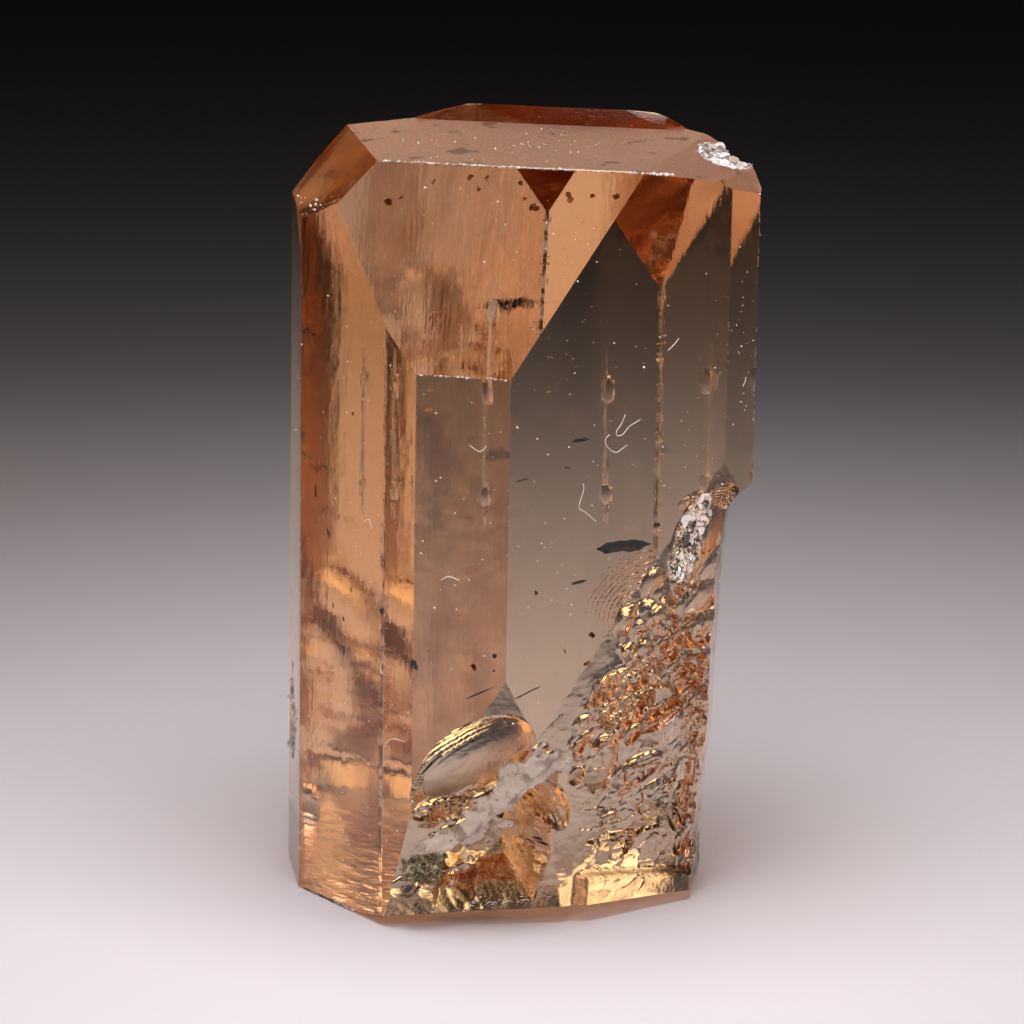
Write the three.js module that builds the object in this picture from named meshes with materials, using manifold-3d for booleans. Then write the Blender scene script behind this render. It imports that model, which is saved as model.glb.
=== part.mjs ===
// A single topaz crystal that stands on its flat cleavage base.
// Millimetres, +Z up along the c axis, the wide prism edge zone facing -Y.
// The origin is in the middle of the footprint, at the height of the base.
//
// The crystal is a prism of named faces, closed by a flat top, two domes and two bevels.
// Its lower front and right side are broken away. Both breaks are height fields: a radius
// measured outward from the c axis over a grid of across and up. A thin crust of white clay
// lies on the ledge of the front break, and a tuft of mica sits at the crust's lower end.

import * as THREE from 'three';
import { mergeVertices, toCreasedNormals } from 'three/addons/utils/BufferGeometryUtils.js';
import Module from 'manifold-3d';

const wasm = await Module();
wasm.setup();

// ---------------------------------------------------------------- driving dimensions

const DEGREE = Math.PI / 180;

// Angles between the faces of topaz, from its cell of 4.65 x 8.80 x 8.39 angstrom.
const WIDE_PRISM = 43.5; // azimuth of the {120} faces from the b axis
const STEEP_PRISM = 62.1; // azimuth of the {110} faces
const NARROW_PRISM = 29.7; // azimuth of the narrow face beside the front
const DOME_TILT = 62.4; // pole of the {021} domes, tilted from the c axis
const PYRAMID_TILT = 45.6; // pole of the {112} bevel

// The c axis stands this far from the middle of the footprint, which is the part's origin.
const AXIS_AT = { x: -0.09, y: 0.135 };

const FRONT_DISTANCE = 6.25; // front face from the c axis
const BACK_DISTANCE = 5.98;
const TOP_HEIGHT = 19.58; // front edge of the flat top above the base
const TOP_SLOPE = 3.8; // degrees by which the flat top leans to the front
const TOP_EDGE_Y = -3.65;
const FRONT_DOME_FOOT = 14.6; // height of the lower edge of the front dome
const BACK_DOME_FOOT = 15.8;

// Prism faces: azimuth from the front, positive to the right, and distance from the c axis.
const PRISM_FACES = {
  front: { azimuth: 0, distance: FRONT_DISTANCE },
  frontRight: { azimuth: WIDE_PRISM, distance: 5.37 },
  rightFront: { azimuth: STEEP_PRISM, distance: 6.04 },
  rightSide: { azimuth: 96, distance: 6.28 },
  rightBack: { azimuth: 180 - STEEP_PRISM, distance: 5.39 },
  backRight: { azimuth: 180 - WIDE_PRISM, distance: 4.48 },
  back: { azimuth: 180, distance: BACK_DISTANCE },
  backLeft: { azimuth: 180 + WIDE_PRISM, distance: 4.34 },
  leftBack: { azimuth: 180 + STEEP_PRISM, distance: 5.32 },
  leftFront: { azimuth: 292, distance: 5.92 },
  leftWide: { azimuth: 360 - WIDE_PRISM, distance: 5.615 },
  leftNarrow: { azimuth: 360 - NARROW_PRISM, distance: 6.03 },
};

// Faces that close the prism: azimuth, tilt of the pole from the c axis, and a point on each.
const CLOSING_FACES = {
  top: { azimuth: 0, tilt: TOP_SLOPE, through: [0, TOP_EDGE_Y, TOP_HEIGHT] },
  leftBevel: { azimuth: -STEEP_PRISM, tilt: PYRAMID_TILT, through: [-3.07, -3.52, TOP_HEIGHT] },
  rightBevel: { azimuth: 72, tilt: 16.5, through: [4.17, -3.45, 19.53] },
  rightShoulder: { azimuth: 75, tilt: 41, through: [5.44, -2.24, 19.31] },
};
const DOME_FACES = {
  frontDome: { azimuth: 0, tilt: DOME_TILT, through: [0, -FRONT_DISTANCE, FRONT_DOME_FOOT] },
  backDome: { azimuth: 180, tilt: DOME_TILT, through: [0, BACK_DISTANCE, BACK_DOME_FOOT] },
};

// The low glassy mound along the back edge of the top, half a flat lens.
const MOUND = { x: -0.4, y: 4.2, z: 20.02, halfWidth: 4.6, halfDepth: 1.9, rise: 0.36 };

// Chips: centre, half sizes and turn about the c axis of the rounded body that each removes.
const CHIPS = {
  backFoot: { at: [3.1, 3.3, 0.1], half: [0.8, 0.45, 0.75], turn: -43 },
  topRight: { at: [5.5, 0.75, 19.8], half: [0.9, 1.15, 0.42], turn: 20 },
  leftEdge: { at: [-6.1, -1.3, 4.1], half: [0.45, 0.95, 1.25], turn: 22 },
  leftFoot: { at: [-2.4, -6.1, 0.1], half: [0.7, 0.35, 0.8], turn: -35 },
};

// The front break. Across runs along the face and up along the c axis, both from the origin.
const BREAK = {
  azimuth: 35,
  across: [-5.7, 5.4],
  up: [-0.6, 12.0],
  cell: 0.3,
  outerRadius: 9,
};
// Three spots [across, up, radius] on each of the two planes that the break follows.
const RIGHT_BREAK_SPOTS = [[-1.35, 5.6, 5.63], [4.1, 11.25, 4.68], [1.0, 0.5, 4.35]];
const LEFT_BREAK_SPOTS = [[-4.57, 3.2, 4.42], [-2.7, 6.65, 5.75], [-1.72, 0.5, 4.5]];

// Shell-shaped hollows in the front break. The lean is the turn of the long axis from level.
const HOLLOWS = [
  { across: -2.6, up: 4.7, halfLong: 2.3, halfWide: 1.05, lean: 27, depth: 0.55, ribs: 4 },
  { across: 3.15, up: 9.9, halfLong: 1.55, halfWide: 0.75, lean: 60, depth: 0.45, ribs: 3 },
  { across: 3.3, up: 8.3, halfLong: 0.75, halfWide: 0.5, lean: 20, depth: 0.2, ribs: 0 },
  { across: 2.45, up: 6.9, halfLong: 0.85, halfWide: 0.5, lean: 40, depth: 0.3, ribs: 2 },
  { across: 0.9, up: 5.0, halfLong: 1.4, halfWide: 0.95, lean: 40, depth: 0.28, ribs: 0 },
  { across: 0.35, up: 3.25, halfLong: 0.75, halfWide: 0.5, lean: -60, depth: 0.25, ribs: 3 },
  { across: 2.3, up: 2.6, halfLong: 1.4, halfWide: 0.9, lean: 10, depth: 0.22, ribs: 0 },
];
const RIB_DEPTH = 0.07;

// Small round bites along the upper edge of the front break.
const SCALLOPS = { from: [-0.2, 6.3], to: [2.2, 10.0], count: 6, radius: 0.48, depth: 0.2 };

// The pocket under the clay ledge, with a flat stained floor that rises to its back.
const POCKET = { radius: 3.3, left: -3.3, right: -1.65, leftSlope: 1.5, rightSlope: 3.0 };
const LEDGE = { across: -0.9, up: 3.8, rise: 0.7, undercut: 3.5 };
const FLOOR_FLAT = { across: -1.0, up: 1.9, rise: 0.36, slope: 1.2 };

// A level cleavage step near the foot of the right part, where the stone stands out again.
const FOOT_STEP = { up: 1.4, fall: 0.15, height: 0.25, out: 0.32, from: -0.3, fade: 0.5 };

// The underside of the broken corner rises away from the ground.
const FOOT_LIFT = { azimuth: 32, tilt: 170, from: 2.3 };

// Lumps of the broken surface: amplitude and size of the rough band and of the rest.
// The band runs this far below the upper edge of the right part of the break.
const ROUGH = { amplitude: 0.14, farAmplitude: 0.04, grain: 0.42, seed: 5 };
const ROUGH_BAND = { middle: 1.9, half: 1.7, leftEnd: -0.6, fade: 0.5 };

// The side break, seen from the right: its radius at each height.
const SIDE_BREAK = {
  azimuth: 97,
  across: [-3.2, 4.2],
  up: [-0.6, 12.0],
  cell: 0.3,
  outerRadius: 9,
  amplitude: 0.09,
  grain: 0.6,
  seed: 11,
};
// Height and radius down the side break.
const SIDE_OUTLINE = [
  [12.1, 8.1],
  [11.1, 6.05],
  [10.6, 5.66],
  [8.9, 5.45],
  [4.2, 5.27],
  [2.1, 5.04],
  [-0.7, 4.95],
];

// Crusts on the break: ends of the centre line, half width, thickness, and grid.
const CLAY = {
  from: [-4.2, 2.2],
  to: [-0.75, 4.7],
  halfWidth: 0.27,
  thickness: 0.16,
  steps: 26,
  rows: 5,
};
const MICA = {
  from: [-4.55, 1.75],
  to: [-3.35, 1.25],
  halfWidth: 0.55,
  thickness: 0.2,
  steps: 10,
  rows: 8,
};
// A crust keeps a hair of room to the stone, ends in a blunt rim and has a lumpy back.
const CRUST = {
  clearance: 0.06,
  bluntness: 0.04,
  rim: 0.25,
  lumpiness: 0.4,
  grain: 0.22,
  seed: 23,
};

// Working sizes: cutting blocks, the prism's length before it is closed, merging distance,
// and the angle above which an edge is drawn crisp.
const BLOCK_SIZE = 60;
const SPARE_HEIGHT = 3;
const MERGE_DISTANCE = 1e-5;
const CREASE = 8 * DEGREE;

const COLOURS = { topaz: 0xc08a5a, clay: 0xb9aea6, mica: 0x6d6a50 };

// ---------------------------------------------------------------- solids

/** Turn a closed three.js geometry into a solid that can be joined and cut. */
function solidOf(geometry) {
  const bare = geometry.clone();
  bare.deleteAttribute('normal');
  bare.deleteAttribute('uv');
  const merged = mergeVertices(bare, MERGE_DISTANCE);
  const vertProperties = new Float32Array(merged.attributes.position.array);
  const triVerts = new Uint32Array(merged.index.array);
  return new wasm.Manifold(new wasm.Mesh({ numProp: 3, vertProperties, triVerts }));
}

/** Turn a solid back into a three.js geometry with crisp edges. */
function geometryOf(solid) {
  const mesh = solid.getMesh();
  const geometry = new THREE.BufferGeometry();
  geometry.setAttribute('position', new THREE.BufferAttribute(mesh.vertProperties, 3));
  geometry.setIndex(new THREE.BufferAttribute(mesh.triVerts, 1));
  return toCreasedNormals(geometry, CREASE);
}

/** Outward direction of a face from its azimuth and the tilt of its pole. */
function faceNormal(azimuth, tilt) {
  const a = azimuth * DEGREE;
  const b = tilt * DEGREE;
  return new THREE.Vector3(Math.sin(a) * Math.sin(b), -Math.cos(a) * Math.sin(b), Math.cos(b));
}

/** A large block whose inner side lies on the given face; all beyond the face is in it. */
function blockBeyond(normal, through) {
  const block = new THREE.BoxGeometry(BLOCK_SIZE, BLOCK_SIZE, BLOCK_SIZE);
  block.translate(0, 0, BLOCK_SIZE / 2);
  const up = new THREE.Vector3(0, 0, 1);
  block.applyQuaternion(new THREE.Quaternion().setFromUnitVectors(up, normal));
  block.translate(...through);
  return solidOf(block);
}

/** Where two neighbouring prism faces meet, as a point of the cross-section. */
function prismCorner(first, second) {
  const a = faceNormal(first.azimuth, 90);
  const b = faceNormal(second.azimuth, 90);
  const cross = a.x * b.y - a.y * b.x;
  const x = (first.distance * b.y - second.distance * a.y) / cross;
  const y = (second.distance * a.x - first.distance * b.x) / cross;
  return new THREE.Vector2(x, y);
}

/** The prism, taller than the crystal, from the corners between its faces. */
function makePrism() {
  const faces = Object.values(PRISM_FACES);
  const corners = faces.map((face, i) => prismCorner(face, faces[(i + 1) % faces.length]));
  return solidOf(new THREE.ExtrudeGeometry(new THREE.Shape(corners), {
    depth: TOP_HEIGHT + SPARE_HEIGHT,
    bevelEnabled: false,
  }));
}

/** A rounded body from a squashed sphere. */
function makeEllipsoid(centre, half, turn) {
  const sphere = new THREE.SphereGeometry(1, 20, 12);
  sphere.scale(...half);
  sphere.rotateZ(turn * DEGREE);
  sphere.translate(...centre);
  return solidOf(sphere);
}

/** The unbroken crystal: prism, closing faces, mound, then the domes that trim the mound. */
function makeWholeCrystal() {
  let body = makePrism();
  for (const face of Object.values(CLOSING_FACES)) {
    body = body.subtract(blockBeyond(faceNormal(face.azimuth, face.tilt), face.through));
  }
  body = body.add(makeEllipsoid(
    [MOUND.x, MOUND.y, MOUND.z],
    [MOUND.halfWidth, MOUND.halfDepth, MOUND.rise],
    0,
  ));
  for (const face of Object.values(DOME_FACES)) {
    body = body.subtract(blockBeyond(faceNormal(face.azimuth, face.tilt), face.through));
  }
  return body.intersect(makePrism());
}

// ---------------------------------------------------------------- shape of the breaks

const clamp01 = (value) => Math.min(1, Math.max(0, value));
const smooth = (value) => value * value * (3 - 2 * value);

// Multipliers that scatter the values of neighbouring lattice cells.
const SCATTER = { i: 127.1, j: 311.7, seed: 74.7, spread: 43758.5453 };

/** A repeatable number from 0 to 1 for a cell of a lattice. */
function latticeValue(i, j, seed) {
  const phase = i * SCATTER.i + j * SCATTER.j + seed * SCATTER.seed;
  const wave = Math.sin(phase) * SCATTER.spread;
  return wave - Math.floor(wave);
}

/** Smooth lumps from -1 to 1, about one lattice cell wide. */
function lumps(x, y, seed) {
  const i = Math.floor(x);
  const j = Math.floor(y);
  const u = smooth(x - i);
  const v = smooth(y - j);
  const low = latticeValue(i, j, seed) * (1 - u) + latticeValue(i + 1, j, seed) * u;
  const high = latticeValue(i, j + 1, seed) * (1 - u) + latticeValue(i + 1, j + 1, seed) * u;
  return 2 * (low * (1 - v) + high * v) - 1;
}

/** The plane through three spots, as a function from across and up to a radius. */
function planeThrough(spots) {
  const [a, b, c] = spots;
  const det = (b[0] - a[0]) * (c[1] - a[1]) - (c[0] - a[0]) * (b[1] - a[1]);
  const perAcross = ((b[2] - a[2]) * (c[1] - a[1]) - (c[2] - a[2]) * (b[1] - a[1])) / det;
  const perUp = ((c[2] - a[2]) * (b[0] - a[0]) - (b[2] - a[2]) * (c[0] - a[0])) / det;
  return (across, up) => a[2] + perAcross * (across - a[0]) + perUp * (up - a[1]);
}

const rightBreak = planeThrough(RIGHT_BREAK_SPOTS);
const leftBreak = planeThrough(LEFT_BREAK_SPOTS);

/** How far a shell-shaped hollow goes in at one spot, with its rings of ribs. */
function hollowDepth(hollow, across, up) {
  const lean = hollow.lean * DEGREE;
  const dx = across - hollow.across;
  const dy = up - hollow.up;
  const along = (dx * Math.cos(lean) + dy * Math.sin(lean)) / hollow.halfLong;
  const aside = (dy * Math.cos(lean) - dx * Math.sin(lean)) / hollow.halfWide;
  const distance = Math.hypot(along, aside);
  if (distance >= 1) return 0;
  const bowl = 1 - distance * distance;
  const rib = hollow.ribs ? Math.sin(2 * Math.PI * hollow.ribs * distance) : 0;
  return (hollow.depth + RIB_DEPTH * rib) * bowl;
}

/** The row of round bites that scallops the upper edge of the break. */
function scallopDepth(across, up) {
  let depth = 0;
  for (let i = 0; i < SCALLOPS.count; i += 1) {
    const part = i / (SCALLOPS.count - 1);
    const x = SCALLOPS.from[0] + part * (SCALLOPS.to[0] - SCALLOPS.from[0]);
    const y = SCALLOPS.from[1] + part * (SCALLOPS.to[1] - SCALLOPS.from[1]);
    const distance = Math.hypot(across - x, up - y) / SCALLOPS.radius;
    depth = Math.max(depth, SCALLOPS.depth * (1 - distance * distance));
  }
  return depth;
}

/** Radius of the pocket under the clay ledge; large where the pocket isn't. */
function pocketRadius(across, up) {
  const underside = LEDGE.up + LEDGE.rise * (across - LEDGE.across);
  const floorBack = FLOOR_FLAT.up + FLOOR_FLAT.rise * (across - FLOOR_FLAT.across);
  return Math.max(
    POCKET.radius,
    POCKET.radius + POCKET.leftSlope * (POCKET.left - across),
    POCKET.radius + POCKET.rightSlope * (across - POCKET.right),
    POCKET.radius + LEDGE.undercut * (up - underside),
    POCKET.radius + FLOOR_FLAT.slope * (floorBack - up),
  );
}

/** How far a spot lies below the upper edge of the right part of the break. */
function depthBelowEdge(across, up) {
  const [left, right] = RIGHT_BREAK_SPOTS;
  const rise = (right[1] - left[1]) / (right[0] - left[0]);
  return left[1] + rise * (across - left[0]) - up;
}

/** Height of the lumps at one spot: high in the band under the upper edge, low elsewhere. */
function lumpHeight(across, up) {
  const offMiddle = Math.abs(depthBelowEdge(across, up) - ROUGH_BAND.middle);
  const inBand = smooth(clamp01(ROUGH_BAND.half - offMiddle));
  const inReach = smooth(clamp01((across - ROUGH_BAND.leftEnd) / ROUGH_BAND.fade));
  return ROUGH.farAmplitude + (ROUGH.amplitude - ROUGH.farAmplitude) * inBand * inReach;
}

/** Radius of the front break over across and up. */
function frontBreakRadius(across, up) {
  const stepUp = FOOT_STEP.up - FOOT_STEP.fall * across;
  const step = smooth(clamp01((stepUp - up) / FOOT_STEP.height));
  const reach = smooth(clamp01((across - FOOT_STEP.from) / FOOT_STEP.fade));
  const right = rightBreak(across, up) + FOOT_STEP.out * step * reach;
  let radius = Math.min(right, leftBreak(across, up), pocketRadius(across, up));
  for (const hollow of HOLLOWS) {
    radius -= hollowDepth(hollow, across, up);
  }
  radius -= scallopDepth(across, up);
  const { grain, seed } = ROUGH;
  const coarse = lumps(across / grain, up / grain, seed);
  const fine = lumps((2 * across) / grain, (2 * up) / grain, seed + 1);
  return radius + lumpHeight(across, up) * (coarse + fine / 2);
}

/** Radius of the side break, from its outline over height. */
function sideBreakRadius(across, up) {
  const below = SIDE_OUTLINE.findIndex((point) => point[0] <= up);
  const [lowUp, lowRadius] = SIDE_OUTLINE[below];
  const [highUp, highRadius] = SIDE_OUTLINE[below - 1];
  const part = (up - lowUp) / (highUp - lowUp);
  const { grain, seed, amplitude } = SIDE_BREAK;
  const lump = amplitude * lumps(across / grain, up / grain, seed);
  return lowRadius + part * (highRadius - lowRadius) + lump;
}

/** Place a spot of a break in space. */
function placeOn(field, across, up, radius) {
  const outward = faceNormal(field.azimuth, 90);
  const a = field.azimuth * DEGREE;
  return [Math.cos(a) * across + outward.x * radius, Math.sin(a) * across + outward.y * radius, up];
}

/** The body that a break takes away: a gridded block whose inner side follows the break. */
function breakBody(field, radiusAt) {
  const width = field.across[1] - field.across[0];
  const height = field.up[1] - field.up[0];
  const columns = Math.round(width / field.cell);
  const rows = Math.round(height / field.cell);
  const block = new THREE.BoxGeometry(width, height, 2, columns, rows, 1);
  block.translate((field.across[0] + field.across[1]) / 2, (field.up[0] + field.up[1]) / 2, 0);
  const position = block.attributes.position;
  for (let i = 0; i < position.count; i += 1) {
    const across = position.getX(i);
    const up = position.getY(i);
    const radius = position.getZ(i) < 0 ? radiusAt(across, up) : field.outerRadius;
    position.setXYZ(i, ...placeOn(field, across, up, radius));
  }
  return solidOf(block);
}

/** The crystal as it is: the whole one less its breaks and chips. */
function makeCrystal() {
  let body = makeWholeCrystal();
  body = body.subtract(breakBody(BREAK, frontBreakRadius));
  body = body.subtract(breakBody(SIDE_BREAK, sideBreakRadius));
  body = body.subtract(liftedFoot());
  for (const chip of Object.values(CHIPS)) {
    body = body.subtract(makeEllipsoid(chip.at, chip.half, chip.turn));
  }
  return largestPiece(body);
}

/** What lies below the underside of the broken corner. */
function liftedFoot() {
  const outward = faceNormal(FOOT_LIFT.azimuth, 90).multiplyScalar(FOOT_LIFT.from);
  return blockBeyond(faceNormal(FOOT_LIFT.azimuth, FOOT_LIFT.tilt), outward.toArray());
}

/** The biggest of the bodies that a cut may leave. */
function largestPiece(solid) {
  const pieces = solid.decompose();
  return pieces.reduce((best, piece) => (piece.volume() > best.volume() ? piece : best));
}

// ---------------------------------------------------------------- crusts on the break

/** A closed crust along a line on the front break, thin at its rim and lumpy on its back. */
function makeCrust(crust) {
  const slab = new THREE.BoxGeometry(1, 2, 2, crust.steps, crust.rows, 1);
  const dx = crust.to[0] - crust.from[0];
  const dy = crust.to[1] - crust.from[1];
  const length = Math.hypot(dx, dy);
  const position = slab.attributes.position;
  for (let i = 0; i < position.count; i += 1) {
    const along = position.getX(i) + 0.5;
    const aside = position.getY(i);
    const taper = Math.sqrt(Math.max(CRUST.bluntness, 1 - (2 * along - 1) ** 4));
    const offset = aside * crust.halfWidth * taper;
    const across = crust.from[0] + dx * along - (dy / length) * offset;
    const up = crust.from[1] + dy * along + (dx / length) * offset;
    const lump = lumps(across / CRUST.grain, up / CRUST.grain, CRUST.seed);
    const fullness = CRUST.rim + (1 - CRUST.rim) * (1 - aside * aside) * taper;
    const height = crust.thickness * fullness * (1 + CRUST.lumpiness * lump);
    const lift = CRUST.clearance + (position.getZ(i) < 0 ? 0 : height);
    const radius = seatRadius(across, up) + lift;
    position.setXYZ(i, ...placeOn(BREAK, across, up, radius));
  }
  return solidOf(slab);
}

/** The highest point of the gridded break near a spot, so that a crust clears it. */
function seatRadius(across, up) {
  const reach = BREAK.cell / 2;
  let seat = -Infinity;
  for (const dx of [-reach, 0, reach]) {
    for (const dy of [-reach, 0, reach]) {
      seat = Math.max(seat, frontBreakRadius(across + dx, up + dy));
    }
  }
  return seat;
}

// ---------------------------------------------------------------- the part

function addPiece(group, name, solid, colour, roughness) {
  const material = new THREE.MeshStandardMaterial({ color: colour, roughness, metalness: 0 });
  material.flatShading = true;
  const mesh = new THREE.Mesh(geometryOf(solid), material);
  mesh.name = name;
  group.add(mesh);
}

const topaz = new THREE.Group();
topaz.position.set(AXIS_AT.x, AXIS_AT.y, 0);
addPiece(topaz, 'crystal', makeCrystal(), COLOURS.topaz, 0.08);
addPiece(topaz, 'clay_seam', makeCrust(CLAY), COLOURS.clay, 0.9);
addPiece(topaz, 'mica_patch', makeCrust(MICA), COLOURS.mica, 0.7);

export default topaz;
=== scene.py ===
"""A topaz crystal: a clear brown-orange prism with a frosted flat top, two slanting domes and a
broken lower corner, standing on its cleavage base on a pale floor.

Lengths inside the classes are millimetres from the c axis of the crystal, with z up along it.
`Axis.to_world` turns them into metres of the shared frame.
"""
import logging
import math
from dataclasses import dataclass, field
from enum import Enum

import bmesh
import bpy
import numpy as np
from mathutils import Matrix, Vector
from mathutils.geometry import delaunay_2d_cdt


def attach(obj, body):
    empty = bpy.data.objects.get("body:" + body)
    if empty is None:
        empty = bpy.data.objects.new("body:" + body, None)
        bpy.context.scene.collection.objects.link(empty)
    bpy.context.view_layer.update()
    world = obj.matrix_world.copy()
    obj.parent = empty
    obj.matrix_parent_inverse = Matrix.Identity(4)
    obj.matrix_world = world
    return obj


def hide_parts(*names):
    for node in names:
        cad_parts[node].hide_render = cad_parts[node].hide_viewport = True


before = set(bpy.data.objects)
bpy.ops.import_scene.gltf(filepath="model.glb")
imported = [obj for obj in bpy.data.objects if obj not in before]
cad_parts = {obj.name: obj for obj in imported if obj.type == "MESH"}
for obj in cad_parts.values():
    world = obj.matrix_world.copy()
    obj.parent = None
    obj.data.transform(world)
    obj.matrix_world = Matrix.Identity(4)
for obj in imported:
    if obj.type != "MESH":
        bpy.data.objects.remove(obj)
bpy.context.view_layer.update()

log = logging.getLogger("topaz")

MM = 0.001
BODY = "root"
Array = np.ndarray
Piece = bpy.types.Object
Socket = bpy.types.NodeSocket
Point = tuple[float, float, float]
Spot = tuple[float, float]
Face = tuple[int, ...]
Plane = tuple[Array, float]
Patches = tuple[float, float, float, float]
Colours = tuple[Point, Point]
Values = tuple[tuple[str, float], ...]


class Join(Enum):
    """How a Boolean step joins two bodies."""

    ADD = "UNION"
    CUT = "DIFFERENCE"
    COMMON = "INTERSECT"


class Zone(Enum):
    """Parts of the crystal's surface that its material tells apart."""

    BROKEN = "broken"
    TOP = "top"
    BASE = "base"
    EDGE = "edge"
    WHITE = "white"
    DOME = "dome"
    RUST = "rust"
    SEAM = "seam"
    BEVEL = "bevel"
    MOUND = "mound"


# ---------------------------------------------------------------- frame and small helpers


class Axis:
    """The crystal's c axis and its place in the shared frame."""

    OFFSET = (-0.09, 0.135, 0.0)

    @classmethod
    def to_world(cls, points: Array) -> Array:
        """Turn crystal millimetres into metres of the shared frame.

        Args:
            points: rows of x, y, z in millimetres from the c axis.

        Returns:
            Rows of x, y, z in metres.
        """
        return (np.asarray(points, dtype=float) + np.array(cls.OFFSET)) * MM


def outward(azimuth: float, tilt: float = 90.0) -> Array:
    """Outward direction of a face.

    Args:
        azimuth: degrees from the front, positive to the right.
        tilt: degrees of the pole from the c axis.

    Returns:
        A unit vector.
    """
    a, b = math.radians(azimuth), math.radians(tilt)
    return np.array([math.sin(a) * math.sin(b), -math.cos(a) * math.sin(b), math.cos(b)])


def new_object(name: str, mesh: bpy.types.Mesh) -> Piece:
    """Wrap a mesh in an object and link it to the scene.

    Args:
        name: the object's name.
        mesh: its mesh.

    Returns:
        The new object.
    """
    piece = bpy.data.objects.new(name, mesh)
    bpy.context.scene.collection.objects.link(piece)
    return piece


def mesh_from(name: str, vertices: Array, faces: list[Face]) -> bpy.types.Mesh:
    """Make a mesh from vertices in crystal millimetres.

    Args:
        name: the mesh's name.
        vertices: rows of x, y, z in crystal millimetres.
        faces: vertex numbers of each face, anticlockwise from outside.

    Returns:
        The mesh, in metres.
    """
    mesh = bpy.data.meshes.new(name)
    mesh.from_pydata(Axis.to_world(vertices).tolist(), [], faces)
    mesh.validate()
    return mesh


def boolean(base: Piece, tool: Piece, operation: Join) -> None:
    """Join a tool to a base or cut it away, and remove the tool.

    Args:
        base: the piece that changes.
        tool: a closed body; it is deleted afterwards.
        operation: how the two are joined.
    """
    step = base.modifiers.new("shape", "BOOLEAN")
    step.operation = operation.value
    step.solver = "MANIFOLD"
    step.object = tool
    graph = bpy.context.evaluated_depsgraph_get()
    mesh = bpy.data.meshes.new_from_object(base.evaluated_get(graph))
    base.modifiers.clear()
    old = base.data
    base.data = mesh
    bpy.data.meshes.remove(old)
    bpy.data.objects.remove(tool)


def read(items: bpy.types.bpy_prop_collection, name: str, width: int) -> Array:
    """One property of all items of a mesh, as rows of a width.

    Args:
        items: vertices, corners or faces.
        name: the property.
        width: numbers in one value.

    Returns:
        The values as rows.
    """
    values = np.empty(len(items) * width)
    items.foreach_get(name, values)
    return values.reshape(-1, width)


def rings_of(mesh: bpy.types.Mesh) -> tuple[Array, Array, Array]:
    """Vertex numbers of all face corners, and where each face starts and its corner count.

    Args:
        mesh: the mesh.

    Returns:
        The numbers, the starts and the counts.
    """
    loops = read(mesh.loops, "vertex_index", 1).astype(int).ravel()
    starts = read(mesh.polygons, "loop_start", 1).astype(int).ravel()
    return loops, starts, np.diff(np.append(starts, len(loops)))


def refill(corners: Array, ring: Array, extra: list[Array]) -> list[Face]:
    """Cut a flat face with many corners, and maybe with holes, into sound triangles.

    Args:
        corners: rows of x, y, z of all vertices.
        ring: vertex numbers round the face; bridges to holes run there and back.
        extra: takes the vertices that are new; they number on from the corners.

    Returns:
        Vertex numbers of each triangle.
    """
    spots = corners[ring]
    normal = np.cross(spots, np.roll(spots, -1, axis=0)).sum(axis=0)
    if np.linalg.norm(normal) < 1e-7:
        return [tuple(ring.tolist())]
    normal /= np.linalg.norm(normal)
    side = np.cross(normal, [0.0, 0.0, 1.0] if abs(normal[2]) < 0.9 else [1.0, 0.0, 0.0])
    side /= np.linalg.norm(side)
    above = np.cross(normal, side)
    flat = np.stack([spots @ side, spots @ above], axis=1)
    used, first, number = np.unique(ring, return_index=True, return_inverse=True)
    number = number.ravel()
    edges = [(int(i), int(j)) for i, j in zip(number, np.roll(number, -1)) if i != j]
    result = delaunay_2d_cdt([Vector(flat[i]) for i in first], edges, [], 0, 1e-6)
    places = np.array([tuple(v) for v in result[0]])
    triangles = np.array(result[2], dtype=int)
    a, b = flat, np.roll(flat, -1, axis=0)
    x, y = places[triangles].mean(axis=1).T[:, :, None]
    left = (b[:, 0] - a[:, 0]) * (y - a[:, 1]) - (x - a[:, 0]) * (b[:, 1] - a[:, 1])
    rising = (a[:, 1] <= y) & (b[:, 1] > y) & (left > 0)
    falling = (a[:, 1] > y) & (b[:, 1] <= y) & (left < 0)
    inside = rising.sum(axis=1) - falling.sum(axis=1) > 0
    ids = []
    for place, origin in zip(places, result[3]):
        if origin:
            ids.append(int(used[origin[0]]))
        else:
            ids.append(len(corners) + len(extra))
            extra.append(side * place[0] + above * place[1] + normal * (spots[0] @ normal))
    parts = []
    for one in triangles[inside].tolist():
        (ax, ay), (bx, by), (cx, cy) = places[one]
        area = (bx - ax) * (cy - ay) - (cx - ax) * (by - ay)
        corner_ids = tuple(ids[k] for k in (one if area > 0 else one[::-1]))
        if abs(area) > 1e-9 and len(set(corner_ids)) == 3:
            parts.append(corner_ids)
    return parts


def dress(piece: Piece, material: bpy.types.Material) -> None:
    """Give a finished piece its material and body.

    Args:
        piece: the piece.
        material: what it is made of.
    """
    piece.data.materials.clear()
    piece.data.materials.append(material)
    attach(piece, BODY)


# ---------------------------------------------------------------- noise over a surface


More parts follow.
